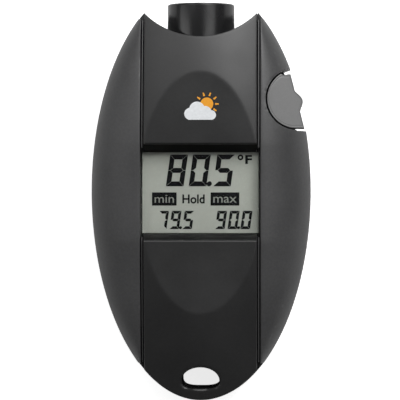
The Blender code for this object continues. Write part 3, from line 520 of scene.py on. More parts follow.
def edge_drop(distance, radius):
    """How far a quarter-round edge lies below the surface, this far in from the edge."""
    inward = np.clip(radius - distance, 0, radius)
    return radius - np.sqrt(radius**2 - inward**2)


def edge_steps(radius, count=8):
    """Distances from an edge at even angles round its quarter circle."""
    return radius * (1 - np.cos(np.linspace(0, math.pi / 2, count)))


def eye_level(x, y):
    """1 on the lanyard eye's outline: an ellipse above its widest part, a squarer oval below."""
    across = np.abs(x) / LANYARD_HALF_WIDTH
    up = (y - LANYARD_Y) / np.where(y > LANYARD_Y, LANYARD_RISE, LANYARD_DROP)
    power = np.where(y > LANYARD_Y, 2.0, 3.0)
    return (across**power + np.abs(up) ** power) ** (1 / power)


def eye_distance(x, y):
    """Roughly how far a point lies outside the lanyard eye."""
    level = eye_level(x, y)
    away = np.hypot(x, y - LANYARD_Y)
    return away * (1 - 1 / np.maximum(level, 1e-6))


def eye_ring(z, grown=0.0, sides=128):
    """The lanyard eye's outline at height z, with its half axes grown."""
    turn = np.arange(sides) * TURN / sides
    over = np.sin(turn) >= 0
    power = np.where(over, 1.0, 2 / 3)
    reach = np.where(over, LANYARD_RISE + grown, LANYARD_DROP + grown)
    x = (LANYARD_HALF_WIDTH + grown) * np.sign(np.cos(turn)) * np.abs(np.cos(turn)) ** power
    y = np.sign(np.sin(turn)) * np.abs(np.sin(turn)) ** power * reach
    return np.column_stack([x, LANYARD_Y + y, np.full(sides, z)])


def body_rings(inset, floor, edge, top, lip=0.0, sides=192):
    """Oval rings up the rear case: a quarter-round lower edge, a straight wall and a soft lip."""
    angle = np.linspace(0, math.pi / 2, 12)
    shrink = inset + edge * (1 - np.sin(angle))
    height = floor + edge * (1 - np.cos(angle))
    ease = np.linspace(0, math.pi / 2, 4)
    shrink = np.concatenate([shrink, inset + lip * (1 - np.cos(ease))])
    height = np.concatenate([height, top - lip * (1 - np.sin(ease))])
    if lip == 0.0:
        shrink, height = shrink[:-3], height[:-3]
    turn = np.arange(sides) * TURN / sides
    x = (body().half_width - shrink)[:, None] * np.cos(turn)
    y = (body().half_length - shrink)[:, None] * np.sin(turn)
    return np.stack([x, y, np.broadcast_to(height[:, None], x.shape)], axis=-1)


def eye_cutter(name="eye", grown=0.0):
    return loft(name, [eye_ring(z, grown) for z in (BELOW, ABOVE)])


def screw_places(names=CASE_SCREWS):
    """Middle of each screw, in X and Y."""
    middles = [sum(node_box(name)) / 2 for name in names]
    return [(middle[0], middle[1]) for middle in middles]


def notch_cutters():
    """The rocker's round notch and its straight way out of the side."""
    low = (PIVOT_X, PIVOT_Y - NOTCH_LOW, BELOW)
    high = (PIVOT_X + 2 * NOTCH_RADIUS, PIVOT_Y + NOTCH_LOW, ABOVE)
    way = block("notch way", low, high)
    return [post("notch", PIVOT_X, PIVOT_Y, NOTCH_RADIUS, sides=144), way]


def notch_wall():
    return post("notch wall", PIVOT_X, PIVOT_Y, NOTCH_RADIUS + WALL, sides=96)


def notch_distance(x, y):
    """How far a point lies outside the notch: from its circle, or from its straight way out."""
    round_side = np.hypot(x - PIVOT_X, y - PIVOT_Y) - NOTCH_RADIUS
    straight = np.abs(y - PIVOT_Y) - NOTCH_LOW
    return np.where(x > PIVOT_X, straight, round_side)


def barrel_cutter():
    radius = BARREL_RADIUS + GAP
    ends = [(radius, BARREL_BACK_Y - GAP), (radius, BARREL_FRONT_Y + MM)]
    return turned("barrel hole", ends, None, "Y", BARREL_MIDDLE, sides=144)


# ---------------------------------------------------------------- materials
def new_group(name, inputs, outputs):
    """A shader node group with named sockets. Inputs are (name, kind, default)."""
    group = bpy.data.node_groups.new(name, "ShaderNodeTree")
    for label, kind, default in inputs:
        socket = group.interface.new_socket(label, in_out="INPUT", socket_type="NodeSocket" + kind)
        socket.default_value = default
    for label, kind in outputs:
        group.interface.new_socket(label, in_out="OUTPUT", socket_type="NodeSocket" + kind)
    return group, group.nodes.new("NodeGroupInput"), group.nodes.new("NodeGroupOutput")


def add_node(tree, kind, inputs=None, **settings):
    """Adds a node. Inputs are values, or sockets to link from."""
    node = tree.nodes.new("ShaderNode" + kind)
    for name, value in settings.items():
        setattr(node, name, value)
    for name, value in (inputs or {}).items():
        if isinstance(value, bpy.types.NodeSocket):
            tree.links.new(value, node.inputs[name])
        else:
            node.inputs[name].default_value = value
    return node


def noise(tree, scale, detail=2.0, roughness=0.5):
    where = add_node(tree, "TexCoord")
    made = add_node(tree, "TexNoise", {"Vector": where.outputs["Object"], "Scale": scale,
                                       "Detail": detail, "Roughness": roughness})
    return made.outputs["Fac"]


def spread(tree, value, low, high):
    """Stretches a value from 0.3..0.7, where noise mostly lies, to low..high."""
    made = add_node(tree, "MapRange", {"Value": value, "From Min": 0.3, "From Max": 0.7,
                                       "To Min": low, "To Max": high})
    return made.outputs["Result"]


def times(tree, first, second):
    return add_node(tree, "Math", {0: first, 1: second}, operation="MULTIPLY").outputs[0]


def plus(tree, first, second):
    return add_node(tree, "Math", {0: first, 1: second}, operation="ADD").outputs[0]


def shaded_colour(tree, tint, amount):
    """A colour made lighter or darker by a factor that changes over the surface."""
    grey = add_node(tree, "CombineColor", {"Red": amount, "Green": amount, "Blue": amount})
    mix = add_node(tree, "Mix", {"Factor": 1.0}, data_type="RGBA", blend_type="MULTIPLY")
    tree.links.new(tint, mix.inputs["A"])
    tree.links.new(grey.outputs["Color"], mix.inputs["B"])
    return mix.outputs["Result"]


def moulded_grain():
    """Fine spark-eroded grain, slow changes of tone and gloss, fine flecks that are partly the
    grain's own tone and partly painted glints, and paler edges that are partly edge wear and partly
    a painted highlight.
    """
    if "moulded grain" in bpy.data.node_groups:
        return bpy.data.node_groups["moulded grain"]
    inputs = [("Colour", "Color", (0.5, 0.5, 0.5, 1)), ("Roughness", "Float", 0.5),
              ("Grain Size", "Float", 4000.0), ("Tone Change", "Float", 0.1),
              ("Gloss Change", "Float", 0.08), ("Edge Wear", "Float", 0.3)]
    group, given, result = new_group("moulded grain", inputs, [("Colour", "Color"),
                                     ("Roughness", "Float"), ("Height", "Float")])
    fine = noise(group, given.outputs["Grain Size"], 3.0, 0.6)
    slow = noise(group, 55.0, 3.0)
    # Fine pale and dark flecks in the colour: partly the grain's own random tone, partly painted
    # glints of the grain.
    speck_and_glint = noise(group, 1400.0, 2.0)
    # Paler edges found by pointiness: partly edge wear, partly a painted highlight along the rounded
    # edges.
    edge = add_node(group, "NewGeometry").outputs["Pointiness"]
    worn_and_lit = add_node(group, "MapRange", {"Value": edge, "From Min": 0.53, "From Max": 0.66})
    worn_and_lit = times(group, worn_and_lit.outputs["Result"], given.outputs["Edge Wear"])
    change = times(group, spread(group, slow, -1.0, 1.0), given.outputs["Tone Change"])
    flecks_and_glints = times(group, spread(group, speck_and_glint, -1.0, 1.0), given.outputs["Tone Change"])
    total = plus(group, plus(group, plus(group, change, flecks_and_glints), worn_and_lit), 1.0)
    tone = shaded_colour(group, given.outputs["Colour"], total)
    gloss = times(group, spread(group, slow, -1.0, 1.0), given.outputs["Gloss Change"])
    gloss = plus(group, gloss, given.outputs["Roughness"])
    group.links.new(tone, result.inputs["Colour"])
    group.links.new(gloss, result.inputs["Roughness"])
    group.links.new(fine, result.inputs["Height"])
    return group


def handling_marks():
    """Faint finger marks and hairline scratches, as a roughness and a height."""
    if "handling marks" in bpy.data.node_groups:
        return bpy.data.node_groups["handling marks"]
    inputs = [("Roughness", "Float", 0.2), ("Amount", "Float", 0.1),
              ("Scratch Size", "Float", 900.0)]
    group, given, result = new_group("handling marks", inputs, [("Roughness", "Float"),
                                     ("Height", "Float")])
    where = add_node(group, "TexCoord")
    stretch = add_node(group, "Mapping", {"Vector": where.outputs["Object"],
                                          "Rotation": (0, 0, 0.6), "Scale": (1.0, 0.04, 1.0)})
    hair = add_node(group, "TexNoise", {"Vector": stretch.outputs["Vector"],
                                        "Scale": given.outputs["Scratch Size"], "Detail": 3.0})
    smear = noise(group, 120.0, 4.0, 0.65)
    mixed = times(group, spread(group, smear, 0.0, 1.0), given.outputs["Amount"])
    group.links.new(plus(group, mixed, given.outputs["Roughness"]), result.inputs["Roughness"])
    group.links.new(hair.outputs["Fac"], result.inputs["Height"])
    return group


def new_material(name):
    made = bpy.data.materials.new(name)
    made.use_nodes = True
    return made, made.node_tree, made.node_tree.nodes["Principled BSDF"]


def use_group(tree, group, values):
    """Places a node group in a material with its own values, and returns its outputs."""
    node = tree.nodes.new("ShaderNodeGroup")
    node.node_tree = group
    for label, value in values.items():
        node.inputs[label].default_value = value
    return node.outputs


def tinted(tree, tint, low, high, scale, detail=2.0):
    """A colour that noise makes lighter and darker."""
    tone = add_node(tree, "RGB")
    tone.outputs[0].default_value = (*tint, 1)
    return shaded_colour(tree, tone.outputs[0], spread(tree, noise(tree, scale, detail), low, high))


def by_ray(tree, kind, others, these, output="Material Output"):
    """Shows one shader to rays of one kind, and another to all the others."""
    path = add_node(tree, "LightPath")
    mix = add_node(tree, "MixShader", {0: path.outputs[kind], 1: others.outputs[0],
                                       2: these.outputs[0]})
    tree.links.new(mix.outputs[0], tree.nodes[output].inputs["Surface"])


def add_bump(tree, shader, height, distance, strength):
    bump = add_node(tree, "Bump", {"Height": height, "Distance": distance, "Strength": strength})
    tree.links.new(bump.outputs["Normal"], shader.inputs["Normal"])


def plastic(name, tint, roughness, grain_size=4000.0, depth=0.03, strength=0.35, tone=0.1,
            gloss=0.06, wear_and_highlight=0.3, specular=0.5):
    """Moulded plastic with its own grain, tone and gloss changes, and paler edges that are partly
    edge wear and partly a painted edge highlight.
    """
    if name in bpy.data.materials:
        return bpy.data.materials[name]
    made, tree, shader = new_material(name)
    made_by = use_group(tree, moulded_grain(), {
        "Colour": (*tint, 1), "Roughness": roughness, "Grain Size": grain_size,
        "Tone Change": tone, "Gloss Change": gloss, "Edge Wear": wear_and_highlight})
    tree.links.new(made_by["Colour"], shader.inputs["Base Color"])
    tree.links.new(made_by["Roughness"], shader.inputs["Roughness"])
    shader.inputs["Specular IOR Level"].default_value = specular
    add_bump(tree, shader, made_by["Height"], depth * MM, strength)
    return made


def metal(name, tint, roughness):
    """Bare metal with smears and fine scratches."""
    if name in bpy.data.materials:
        return bpy.data.materials[name]
    made, tree, shader = new_material(name)
    marks = use_group(tree, handling_marks(), {"Roughness": roughness, "Amount": 0.15,
                                               "Scratch Size": 900.0})
    shader.inputs["Metallic"].default_value = 1.0
    tree.links.new(tinted(tree, tint, 0.85, 1.0, 300.0, 3.0), shader.inputs["Base Color"])
    tree.links.new(marks["Roughness"], shader.inputs["Roughness"])
    add_bump(tree, shader, marks["Height"], 0.01 * MM, 0.15)
    return made


def bright_steel():
    return metal("bright steel", (0.6, 0.6, 0.6), 0.22)


def case_plastic():
    return plastic("case black", finish().panel, finish().roughness, strength=finish().grain)


def wing_plastic():
    return plastic("side cover black", finish().wings, finish().roughness + 0.04,
                   strength=finish().grain)


def barrel_plastic():
    """Turned, semi-gloss black."""
    return plastic("barrel black", finish().barrel, 0.26, 2500.0, 0.01, 0.15, tone=0.08, gloss=0.03)


def rocker_plastic():
    return plastic("rocker grey", finish().rocker, 0.38, 5000.0, 0.02, 0.2, tone=0.03, gloss=0.04,
                   wear_and_highlight=0.12)


def circuit_board():
    """Green solder mask over a net of slightly raised copper tracks."""
    made, tree, shader = new_material("circuit board")
    where = add_node(tree, "TexCoord")
    tracks = add_node(tree, "TexBrick", {"Vector": where.outputs["Object"], "Scale": 320.0,
                                         "Mortar Size": 0.03, "Color1": (0.02, 0.13, 0.05, 1),
                                         "Color2": (0.02, 0.15, 0.055, 1),
                                         "Mortar": (0.05, 0.26, 0.09, 1)})
    tree.links.new(tracks.outputs["Color"], shader.inputs["Base Color"])
    rough = spread(tree, noise(tree, 900.0, 3.0), 0.3, 0.45)
    tree.links.new(rough, shader.inputs["Roughness"])
    add_bump(tree, shader, tracks.outputs["Fac"], 0.03 * MM, 0.5)
    return made


def display_ground():
    """Greenish-grey reflective ground of the display, very finely speckled."""
    return plastic("display ground", bpy.context.scene.meter_display.ground, 0.5, 9000.0, 0.01, 0.1,
                   tone=0.025, gloss=0.04, wear_and_highlight=0.0, specular=0.1)


def segment_ink():
    """A liquid-crystal segment that is on: near black, with a faint mottle."""
    return plastic("display segment", bpy.context.scene.meter_display.segment, 0.5, 6000.0, 0.005,
                   0.1, tone=0.2, wear_and_highlight=0.0, specular=0.0)


def printed(name, tint, specular=0.5):
    """Thin screen-printed ink."""
    return plastic(name, tint, 0.35, 5000.0, 0.005, 0.2, tone=0.05, gloss=0.05, wear_and_highlight=0.0,
                   specular=specular)


def lens_glass():
    """Clear window: glass to look through, and open to light that crosses it."""
    made, tree, shader = new_material("clear window")
    shader.inputs["Base Color"].default_value = (0.95, 0.97, 0.95, 1)
    shader.inputs["Transmission Weight"].default_value = 1.0
    shader.inputs["IOR"].default_value = 1.3
    smear = spread(tree, noise(tree, 90.0, 4.0, 0.6), 0.0, 0.035)
    tree.links.new(smear, shader.inputs["Roughness"])
    open_way = add_node(tree, "BsdfTransparent", {"Color": (0.95, 0.97, 0.95, 1)})
    by_ray(tree, "Is Shadow Ray", shader, open_way)
    return made


def filter_glass():
    """Dark infrared filter with a coloured sheen that shifts with its coating's thickness."""
    made, tree, shader = new_material("filter glass")
    bands = add_node(tree, "ValToRGB", {"Fac": spread(tree, noise(tree, 60.0, 1.0), 0.0, 1.0)})
    bands.color_ramp.elements[0].color = (0.05, 0.02, 0.06, 1)
    bands.color_ramp.elements[1].color = (0.02, 0.05, 0.07, 1)
    tree.links.new(bands.outputs["Color"], shader.inputs["Base Color"])
    rough = spread(tree, noise(tree, 400.0, 3.0), 0.04, 0.1)
    tree.links.new(rough, shader.inputs["Roughness"])
    shader.inputs["Specular IOR Level"].default_value = 0.9
    return made


# ---------------------------------------------------------------- rear case
def rear_case():
    """An oval tub with a rounded lower edge, hollowed round its posts, then cut and drilled."""
    case = loft("rear_shell", body_rings(0.0, 0.0, BACK_ROUND, PARTING_Z, CASE_LIP), case_plastic())
    room = loft("rear room", body_rings(WALL, WALL, BACK_ROUND - WALL, PARTING_Z + MM, sides=128))
    kept = [notch_wall(), post("arc wall", 0, TOP_ARC_Y, TOP_ARC_RADIUS + WALL, sides=128),
            eye_cutter("eye wall", EYE_WALL)]
    kept += posts("screw post", screw_places(), SCREW_POST)
    seat = [(CAP_SEAT[0], BELOW), CAP_SEAT]
    kept.append(turned("cap seat", seat, None, "Z", BATTERY))
    (near, far), (foot, top) = CELL_WELL
    well = [(near, foot), (far, foot), (far, top), (near, top)]
    kept.append(turned("cell well", well, None, "Z", BATTERY, wrap=True))
    combine(room, "DIFFERENCE", kept)
    combine(case, "DIFFERENCE", [room])

    cuts = notch_cutters() + [barrel_cutter()]
    cuts += [post("top arc", 0, TOP_ARC_Y, TOP_ARC_RADIUS, sides=256), eye_cutter()]
    for spot in screw_places():
        cuts.append(post("screw hole", *spot, SCREW_HOLE))
        cuts.append(chamfered_hole("counterbore", BOSS_RADIUS, COUNTERBORE_EDGE, COUNTERBORE_DEPTH,
                                   (*spot, 0), 64))
    cuts.append(chamfered_hole("cap rebate", CAP_RADIUS + GAP, CAP_EDGE, CAP_REBATE_DEPTH, BATTERY,
                               128))
    cuts.append(post("cap bore", 0, BATTERY_Y, CAP_HUB_RADIUS + GAP, BELOW, CAP_BORE_DEPTH, 128))
    for turn in (CAP_TURN, CAP_TURN + 180):
        entry = ring_sector(CAP_HUB_RADIUS - MM, *LUG_WAY, -turn)
        cuts.append(prism("lug entry", entry, MM, CAP_BORE_DEPTH))
    combine(case, "DIFFERENCE", cuts)
    combine(case, "UNION", [prism("shelf", shelf_outline(), *SHELF_Z)])
    combine(case, "DIFFERENCE", [post("pin hole", PIVOT_X, PIVOT_Y, PIN_HOLE, PIN_HOLE_Z[0])])
    place(case, "body", "moulded_shell", "rear_case")


def shelf_outline():
    """The shelf under the rocker: an arc along the notch, drawn in to a round nose at the pin."""

    def arc(radius, start, end, count):
        turn = np.radians(np.linspace(start, end, count))
        return np.column_stack([PIVOT_X + radius * np.cos(turn), PIVOT_Y + radius * np.sin(turn)])

    return np.concatenate([arc(SHELF_RADIUS, *SHELF_ENDS, 60), arc(SHELF_NOSE, -80, 80, 25)])


def ring_sector(inner, outer, half_angle, middle):
    """Part of a ring about the battery's centre, between two angles in degrees."""
    turn = np.radians(np.linspace(middle - half_angle, middle + half_angle, 25))
    arc = np.column_stack([np.cos(turn), np.sin(turn)])
    return np.concatenate([outer * arc, inner * arc[::-1]]) + (0, BATTERY_Y)


# ---------------------------------------------------------------- centre panel
def panel_columns(half, middle=70):
    """Places across the panel, at even angles round both edges and even steps between."""
    edge = edge_steps(EDGE_ROUND)
    inner = np.linspace(-half + EDGE_ROUND, half - EDGE_ROUND, middle)
    return np.concatenate([-half + edge[:-1], inner, half - edge[-2::-1]])


def front_panel():
    """The domed panel between the grooves.

    Its rows follow the oval outline at the lower end and the hollow arc at the upper end, and run
    straight across beside the display. Edges, the channel's rims and the eye are eased by lowering
    the surface near them, along a quarter circle.
    """
    x = panel_columns(PANEL_HALF_WIDTH)[:, None]
    low_y, high_y = -outline_y(x, PANEL_END_INSET), top_arc_y(x)
    low_slope = np.gradient(low_y[:, 0], x[:, 0])[:, None]
    high_slope = np.gradient(high_y[:, 0], x[:, 0])[:, None]
    low_lean, high_lean = np.hypot(1, low_slope), np.hypot(1, high_slope)
    rim = RIM_Y[0] - edge_steps(RIM_ROUND, 6)[::-1], RIM_Y[1] + edge_steps(RIM_ROUND, 6)
    edge = edge_steps(EDGE_ROUND)
    low_rows = low_y + edge[:-1] * low_lean
    high_rows = high_y - edge[-2::-1] * high_lean
    share = np.linspace(0, 1, 130)[1:-1]
    start, end = low_y + EDGE_ROUND * low_lean, rim[0][0]
    lower = start + share * (end - start)
    share = np.linspace(0, 1, 90)[1:-1]
    start, end = rim[1][-1], high_y - EDGE_ROUND * high_lean
    upper = start + share * (end - start)
    straight = np.broadcast_to(np.concatenate(rim), (len(x), 12))
    y = np.concatenate([low_rows, lower, straight, upper, high_rows], axis=1)
    x = np.broadcast_to(x, y.shape)
    end_distance = np.minimum((y - low_y) / low_lean, (high_y - y) / high_lean)
    distance = np.minimum(PANEL_HALF_WIDTH - np.abs(x), end_distance)
    rim_distance = np.maximum(RIM_Y[0] - y, y - RIM_Y[1])
    drop = edge_drop(distance, EDGE_ROUND)
    ease = edge_drop(rim_distance + RIM_ROUND - rim_reach(), RIM_ROUND)
    ease = np.where(rim_distance < 0, 0, ease)
    eye = edge_drop(np.maximum(eye_distance(x, y), 0), LANYARD_ROUND)
    top = panel_height(x, y) - np.maximum(np.maximum(drop, ease), eye)
    panel = patch_solid("centre_panel", x, y, top, COVER_Z, case_plastic())
    combine(panel, "DIFFERENCE", panel_rooms())
    combine(panel, "DIFFERENCE", panel_cuts())
    place(panel, "body", "moulded_shell", "front_panel")


def rim_slope():
    """Angle of the channel's upper slope below the level."""
    return math.atan2(body().front_z - LIP_Z, RIM_Y[1] - LIP_Y[1])


def rim_reach():
    """How far a rim's rounding reaches from the rim to where the surface is level."""
    return RIM_ROUND * math.sin(rim_slope())


def rim_drop():
    """How far the rim lies below the level where its rounding meets the slope."""
    return RIM_ROUND * (1 - math.cos(rim_slope()))


def panel_rooms():
    """The hollows under the two ends of the panel, and the one under the display's seat."""
    half = PANEL_HALF_WIDTH - PANEL_WALL
    x = np.linspace(-half, half, 31)[:, None]
    ends = [(UPPER_ROOM_Y + 0 * x, top_arc_y(x, WALL)),
            (LOWER_ROOM_Y[0] + 0 * x, LOWER_ROOM_Y[1] + 0 * x)]
    rooms = []
    for low_y, high_y in ends:
        y = low_y + np.linspace(0, 1, 31) * (high_y - low_y)
        across = np.broadcast_to(x, y.shape)
        room = patch_solid("room", across, y, panel_height(across, y) - WALL, PARTING_Z - MM)
        spots = [spot for spot in screw_places() if abs(spot[0]) < half]
        rooms.append(combine(room, "DIFFERENCE", posts("boss", spots, BOSS_RADIUS)))
    low, high = (-half, SEAT_Y[0], BELOW), (half, SEAT_Y[1], SEAT_Z - SEAT_WALL)
    rooms.append(block("under seat", low, high))
    return rooms


def panel_cuts():
    """The display channel with its two slopes, and the openings for barrel, screws and eye."""
    far = PANEL_HALF_WIDTH + MM
    rim_z = body().front_z - rim_drop()
    over = body().front_z + MM
    top_run = (RIM_Y[1] - LIP_Y[1]) / (rim_z - LIP_Z)
    low_run = (LIP_Y[0] - RIM_Y[0]) / (rim_z - LIP_Z)
    channel = [
        (RIM_Y[1] + (over - rim_z) * top_run, over), (RIM_Y[0] - (over - rim_z) * low_run, over),
        (LIP_Y[0], LIP_Z), (SEAT_Y[0], LIP_Z), (SEAT_Y[0], SEAT_Z), (SEAT_Y[1], SEAT_Z),
        (SEAT_Y[1], LIP_Z), (LIP_Y[1], LIP_Z),
    ]
    cuts = [loft("channel", [[(x, y, z) for y, z in channel] for x in (-far, far)])]
    cuts.append(block("aperture", (*APERTURE[0], SKIRT_Z), (*APERTURE[1], SEAT_Z + MM)))
    cuts.append(block("under skirts", (-far, SKIRT_Y[0], BELOW), (far, SKIRT_Y[1], SKIRT_Z)))
    cuts += [barrel_cutter(), eye_cutter()]
    spots = [spot for spot in screw_places() if abs(spot[0]) < PANEL_HALF_WIDTH]
    return cuts + posts("hole", spots, SCREW_HOLE, SCREW_HOLE_TOP)


# ---------------------------------------------------------------- side covers
def wing_patch(side, inset, end_y, rows, columns):
    """Grid under one side cover: even rows along Y, columns closing up towards the outline."""
    y = np.linspace(-end_y, end_y, rows)[:, None]
    share = 1 - (1 - np.linspace(0, 1, columns)) ** 2
    inner_x = WING_INNER_X + inset
    x = inner_x + share * (outline_x(y, inset) - inner_x)
    if inset == 0:
        width = x[:, -1:] - inner_x
        edge = inner_x + edge_steps(WING_EDGE, 6)[:-1] * width / WING_EDGE_REACH
        x = np.sort(np.concatenate([edge, x[:, 1:]], axis=1), axis=1)
    y = np.broadcast_to(y, x.shape)
    return side * x, y, wing_height(x, y, inset)


def groove_strip(side):
    """A thin upright strip whose top follows the panel's edge, and the web it stands on."""
    end = WING_END_Y - WING_EDGE
    y = np.linspace(-end, end, 160)[:, None]
    across = np.array([STRIP_X[0], STRIP_X[0] + PRINT, STRIP_X[1] - PRINT, STRIP_X[1]])
    top = panel_height(PANEL_HALF_WIDTH, y) - STRIP_STEP - np.array([PRINT, 0, 0, PRINT])
    x, y = np.broadcast_arrays(side * across, y)
    foot = COVER_Z + WING_LEAST
    strip = patch_solid("strip", x, y, top, foot)
    near, far = sorted((side * STRIP_X[0], side * (WING_INNER_X + GAP)))
    web = block("web", (near, -end, foot), (far, end, LEDGE_Z[0] - MM))
    return [strip, web]


def side_cover(side, name, node):
    """One side cover: a skin from the groove down to the outline, with a ledge under the panel."""
    x, y, top = wing_patch(side, 0.0, WING_END_Y, 300, 48)
    ease = edge_drop(np.minimum(np.abs(x) - WING_INNER_X, WING_END_Y - np.abs(y)), WING_EDGE)
    if side > 0:
        away = notch_distance(x, y)
        ease = np.maximum(ease, np.where(away > 0, edge_drop(np.maximum(away, 0), WING_EDGE), 0))
    top = np.maximum(top - ease, COVER_Z + WING_LEAST)
    cover = patch_solid(name, x, y, top, COVER_Z, wing_plastic())

    x, y, top = wing_patch(side, WING_WALL, WING_ROOM_Y, 61, 20)
    room = patch_solid("room", x, y, top, PARTING_Z)
    spots = [spot for spot in screw_places() if spot[0] * side > WING_INNER_X]
    kept = posts("boss", spots, BOSS_RADIUS)
    if side > 0:
        kept.append(notch_wall())
    combine(room, "DIFFERENCE", kept)
    combine(cover, "DIFFERENCE", [room])

    near, far = sorted((side * LEDGE_X, side * (WING_INNER_X + MM)))
    ledge = block("ledge", (near, LEDGE_Y[0], LEDGE_Z[0]), (far, LEDGE_Y[1], LEDGE_Z[1]))
    combine(cover, "UNION", [ledge] + groove_strip(side))
    near, far = sorted((side * (LEDGE_X - MM), side * (WING_INNER_X + WING_WALL + 0.1 * MM)))
    cuts = [block("under ledge", (near, LEDGE_Y[0], BELOW), (far, LEDGE_Y[1], LEDGE_Z[0]))]
    near, far = sorted((side * (STRIP_X[0] - GAP), side * (STRIP_X[1] + GAP / 2)))
    cuts.append(block("display way", (near, SEAT_Y[0], LEDGE_Z[1] + GAP), (far, SEAT_Y[1], ABOVE)))
    cuts += posts("hole", spots, SCREW_HOLE, SCREW_HOLE_TOP)
    if side > 0:
        near, far, reach = FINGER_WINDOW
        low = (near, PIVOT_Y - reach, FINGER_Z[0] - GAP)
        high = (far, PIVOT_Y + reach, FINGER_Z[1] + GAP)
        cuts += notch_cutters() + [block("finger window", low, high)]
    combine(cover, "DIFFERENCE", cuts)
    place(cover, "body", "side_cover", node)


# ---------------------------------------------------------------- display
def segment_outlines(w, h, t, g=0.05 * MM):
    """The seven bars of one digit, by letter, in a width, a height, a bar's width and a gap."""
    top = np.array([(g, h), (w - g, h), (w - t - g, h - t), (t + g, h - t)])
    upper_left = np.array([(0, h - g), (t, h - t - g), (t, h / 2 + t / 2 + g), (t / 2, h / 2 + g),
                           (0, h / 2 + g)])
    middle = np.array([(t / 2 + g, h / 2), (t + g, h / 2 + t / 2), (w - t - g, h / 2 + t / 2),
                       (w - t / 2 - g, h / 2), (w - t - g, h / 2 - t / 2), (t + g, h / 2 - t / 2)])
    upper_right = upper_left * (-1, 1) + (w, 0)
    return {"a": top, "f": upper_left, "g": middle, "b": upper_right, "d": top * (1, -1) + (0, h),
            "e": upper_left * (1, -1) + (0, h), "c": upper_right * (1, -1) + (0, h)}


BARS = {"0": "abcdef", "5": "afgcd", "7": "abc", "8": "abcdefg", "9": "abcdfg"}


def leaning(outline, left, base):
    """Shifts an outline to its place and slants it by the tangent of the lean."""
    slant = math.tan(bpy.context.scene.meter_display.lean)
    return np.column_stack([left + outline[:, 0] + slant * outline[:, 1], base + outline[:, 1]])


def digits(left, base, height, width, stroke, marks):
    """Outlines of a reading. Marks are (sign, how far from the left), and a point is a dot."""
    outlines = []
    bars = segment_outlines(width, height, stroke)
    for sign, along in marks:
        if sign == ".":
            outlines.append(leaning(circle(stroke * 0.52, 0, stroke * 0.5, 24), left + along, base))
            continue
        outlines += [leaning(bars[bar], left + along, base) for bar in BARS[sign]]
    return outlines


def flat_shapes(name, outlines, low, high, look):
    """Thin closed plates, one for each outline, in one piece."""
    points, faces, first = [], [], 0
    for outline in outlines:
        count = len(outline)
        for z in (low, high):
            points.append(np.column_stack([outline, np.full(count, z)]))
        index = np.arange(count) + first
        after = np.roll(index, -1)
        sides = np.stack([index, after, after + count, index + count], axis=-1)
        faces += sides.tolist() + [index[::-1].tolist(), (index + count).tolist()]
        first += 2 * count
    return solid(name, np.concatenate(points), np.empty((0, 4), int), faces, look)


def word(name, text, low, high, heights, look, bolder=0.0):
    """Lettering as a thin closed mesh, fitted into a box."""
    curve = bpy.data.curves.new(name, "FONT")
    curve.body = text
    curve.offset = bolder
    curve.extrude = 0.1
    curve.resolution_u = 6
    made = show(name, curve)
    graph = bpy.context.evaluated_depsgraph_get()
    mesh = bpy.data.meshes.new_from_object(made.evaluated_get(graph))
    bpy.data.objects.remove(made)
    bpy.data.curves.remove(curve)
    points = np.empty(len(mesh.vertices) * 3)
    mesh.vertices.foreach_get("co", points)
    points = points.reshape(-1, 3)
    share = (points - points.min(axis=0)) / np.ptp(points, axis=0)
    low, high = np.array([*low, heights[0]]), np.array([*high, heights[1]])
    mesh.vertices.foreach_set("co", (low + share * (high - low)).reshape(-1))
    face_outwards(mesh, merge=1e-6)
    shade(mesh, 32)
    mesh.materials.clear()
    mesh.materials.append(look)
    return show(name, mesh)


def channel_inlay(name, rim_y, lip_y, look):
    """A thin dark strip that lies on one slope of the channel, from near the rim to the lip."""
    rim_z = body().front_z - rim_drop()
    share = np.array([INLAY_START, 1.0, 1.0, INLAY_START])
    lift = np.array([0, 0, 1, 1]) * INLAY_THICK
    y = rim_y + share * (lip_y - rim_y)
    z = rim_z + share * (LIP_Z - rim_z) + lift
    half = PANEL_HALF_WIDTH - 0.05 * MM
    rings = [np.column_stack([np.full(4, x), y, z]) for x in (-half, half)]
    return loft(name, rings, look)


def window():
    """The window with its printed border, the display cell and the inlays on the slopes."""
    lens = slab("display_window", LENS[0], LENS[1], 0.2 * MM, 0.05 * MM, lens_glass())
    place(lens, "body", "lens", "display_lens")
    cell = slab("display_glass", CELL[0], CELL[1], 0.15 * MM, 0.03 * MM, display_ground())
    place(cell, "body", "display_cell", "lcd_cell")
    black = printed("window border ink", (0.005, 0.005, 0.005), 0.12)
    left, start, under = LENS[0][0] + 0.2 * MM, LENS[0][1] + 0.1 * MM, LENS[0][2]
    for name, near, far in (("upper", BORDER_Y[0], LENS[1][1] - 0.1 * MM),
                            ("lower", start, BORDER_Y[1])):
        border = slab("window_border_" + name, (left, near, under - 0.08 * MM),
                      (-left, far, under - 0.02 * MM), 0.1 * MM, 0.01 * MM, black)
        place(border, "body", "lens")
    for name, rim_y, lip_y in (("upper", RIM_Y[1], LIP_Y[1]), ("lower", RIM_Y[0], LIP_Y[0])):
        place(channel_inlay("channel_inlay_" + name, rim_y, lip_y, black), "body", "moulded_shell")


def readings(low, high, ink):
    """The large reading and the two small ones, as thin plates."""
    settings = bpy.context.scene.meter_display
    main = digits(*MAIN_AT, settings.main_height, *MAIN_BAR, MAIN_SIGNS)
    place(flat_shapes("main_reading", main, low, high, ink), "body", "display_cell")
    for name, left, signs in SMALL_READINGS:
        marks = list(zip(signs, SMALL_PLACES))
        shapes = digits(left, SMALL_Y, settings.small_height, *SMALL_BAR, marks)
        place(flat_shapes(name, shapes, low, high, ink), "body", "display_cell")


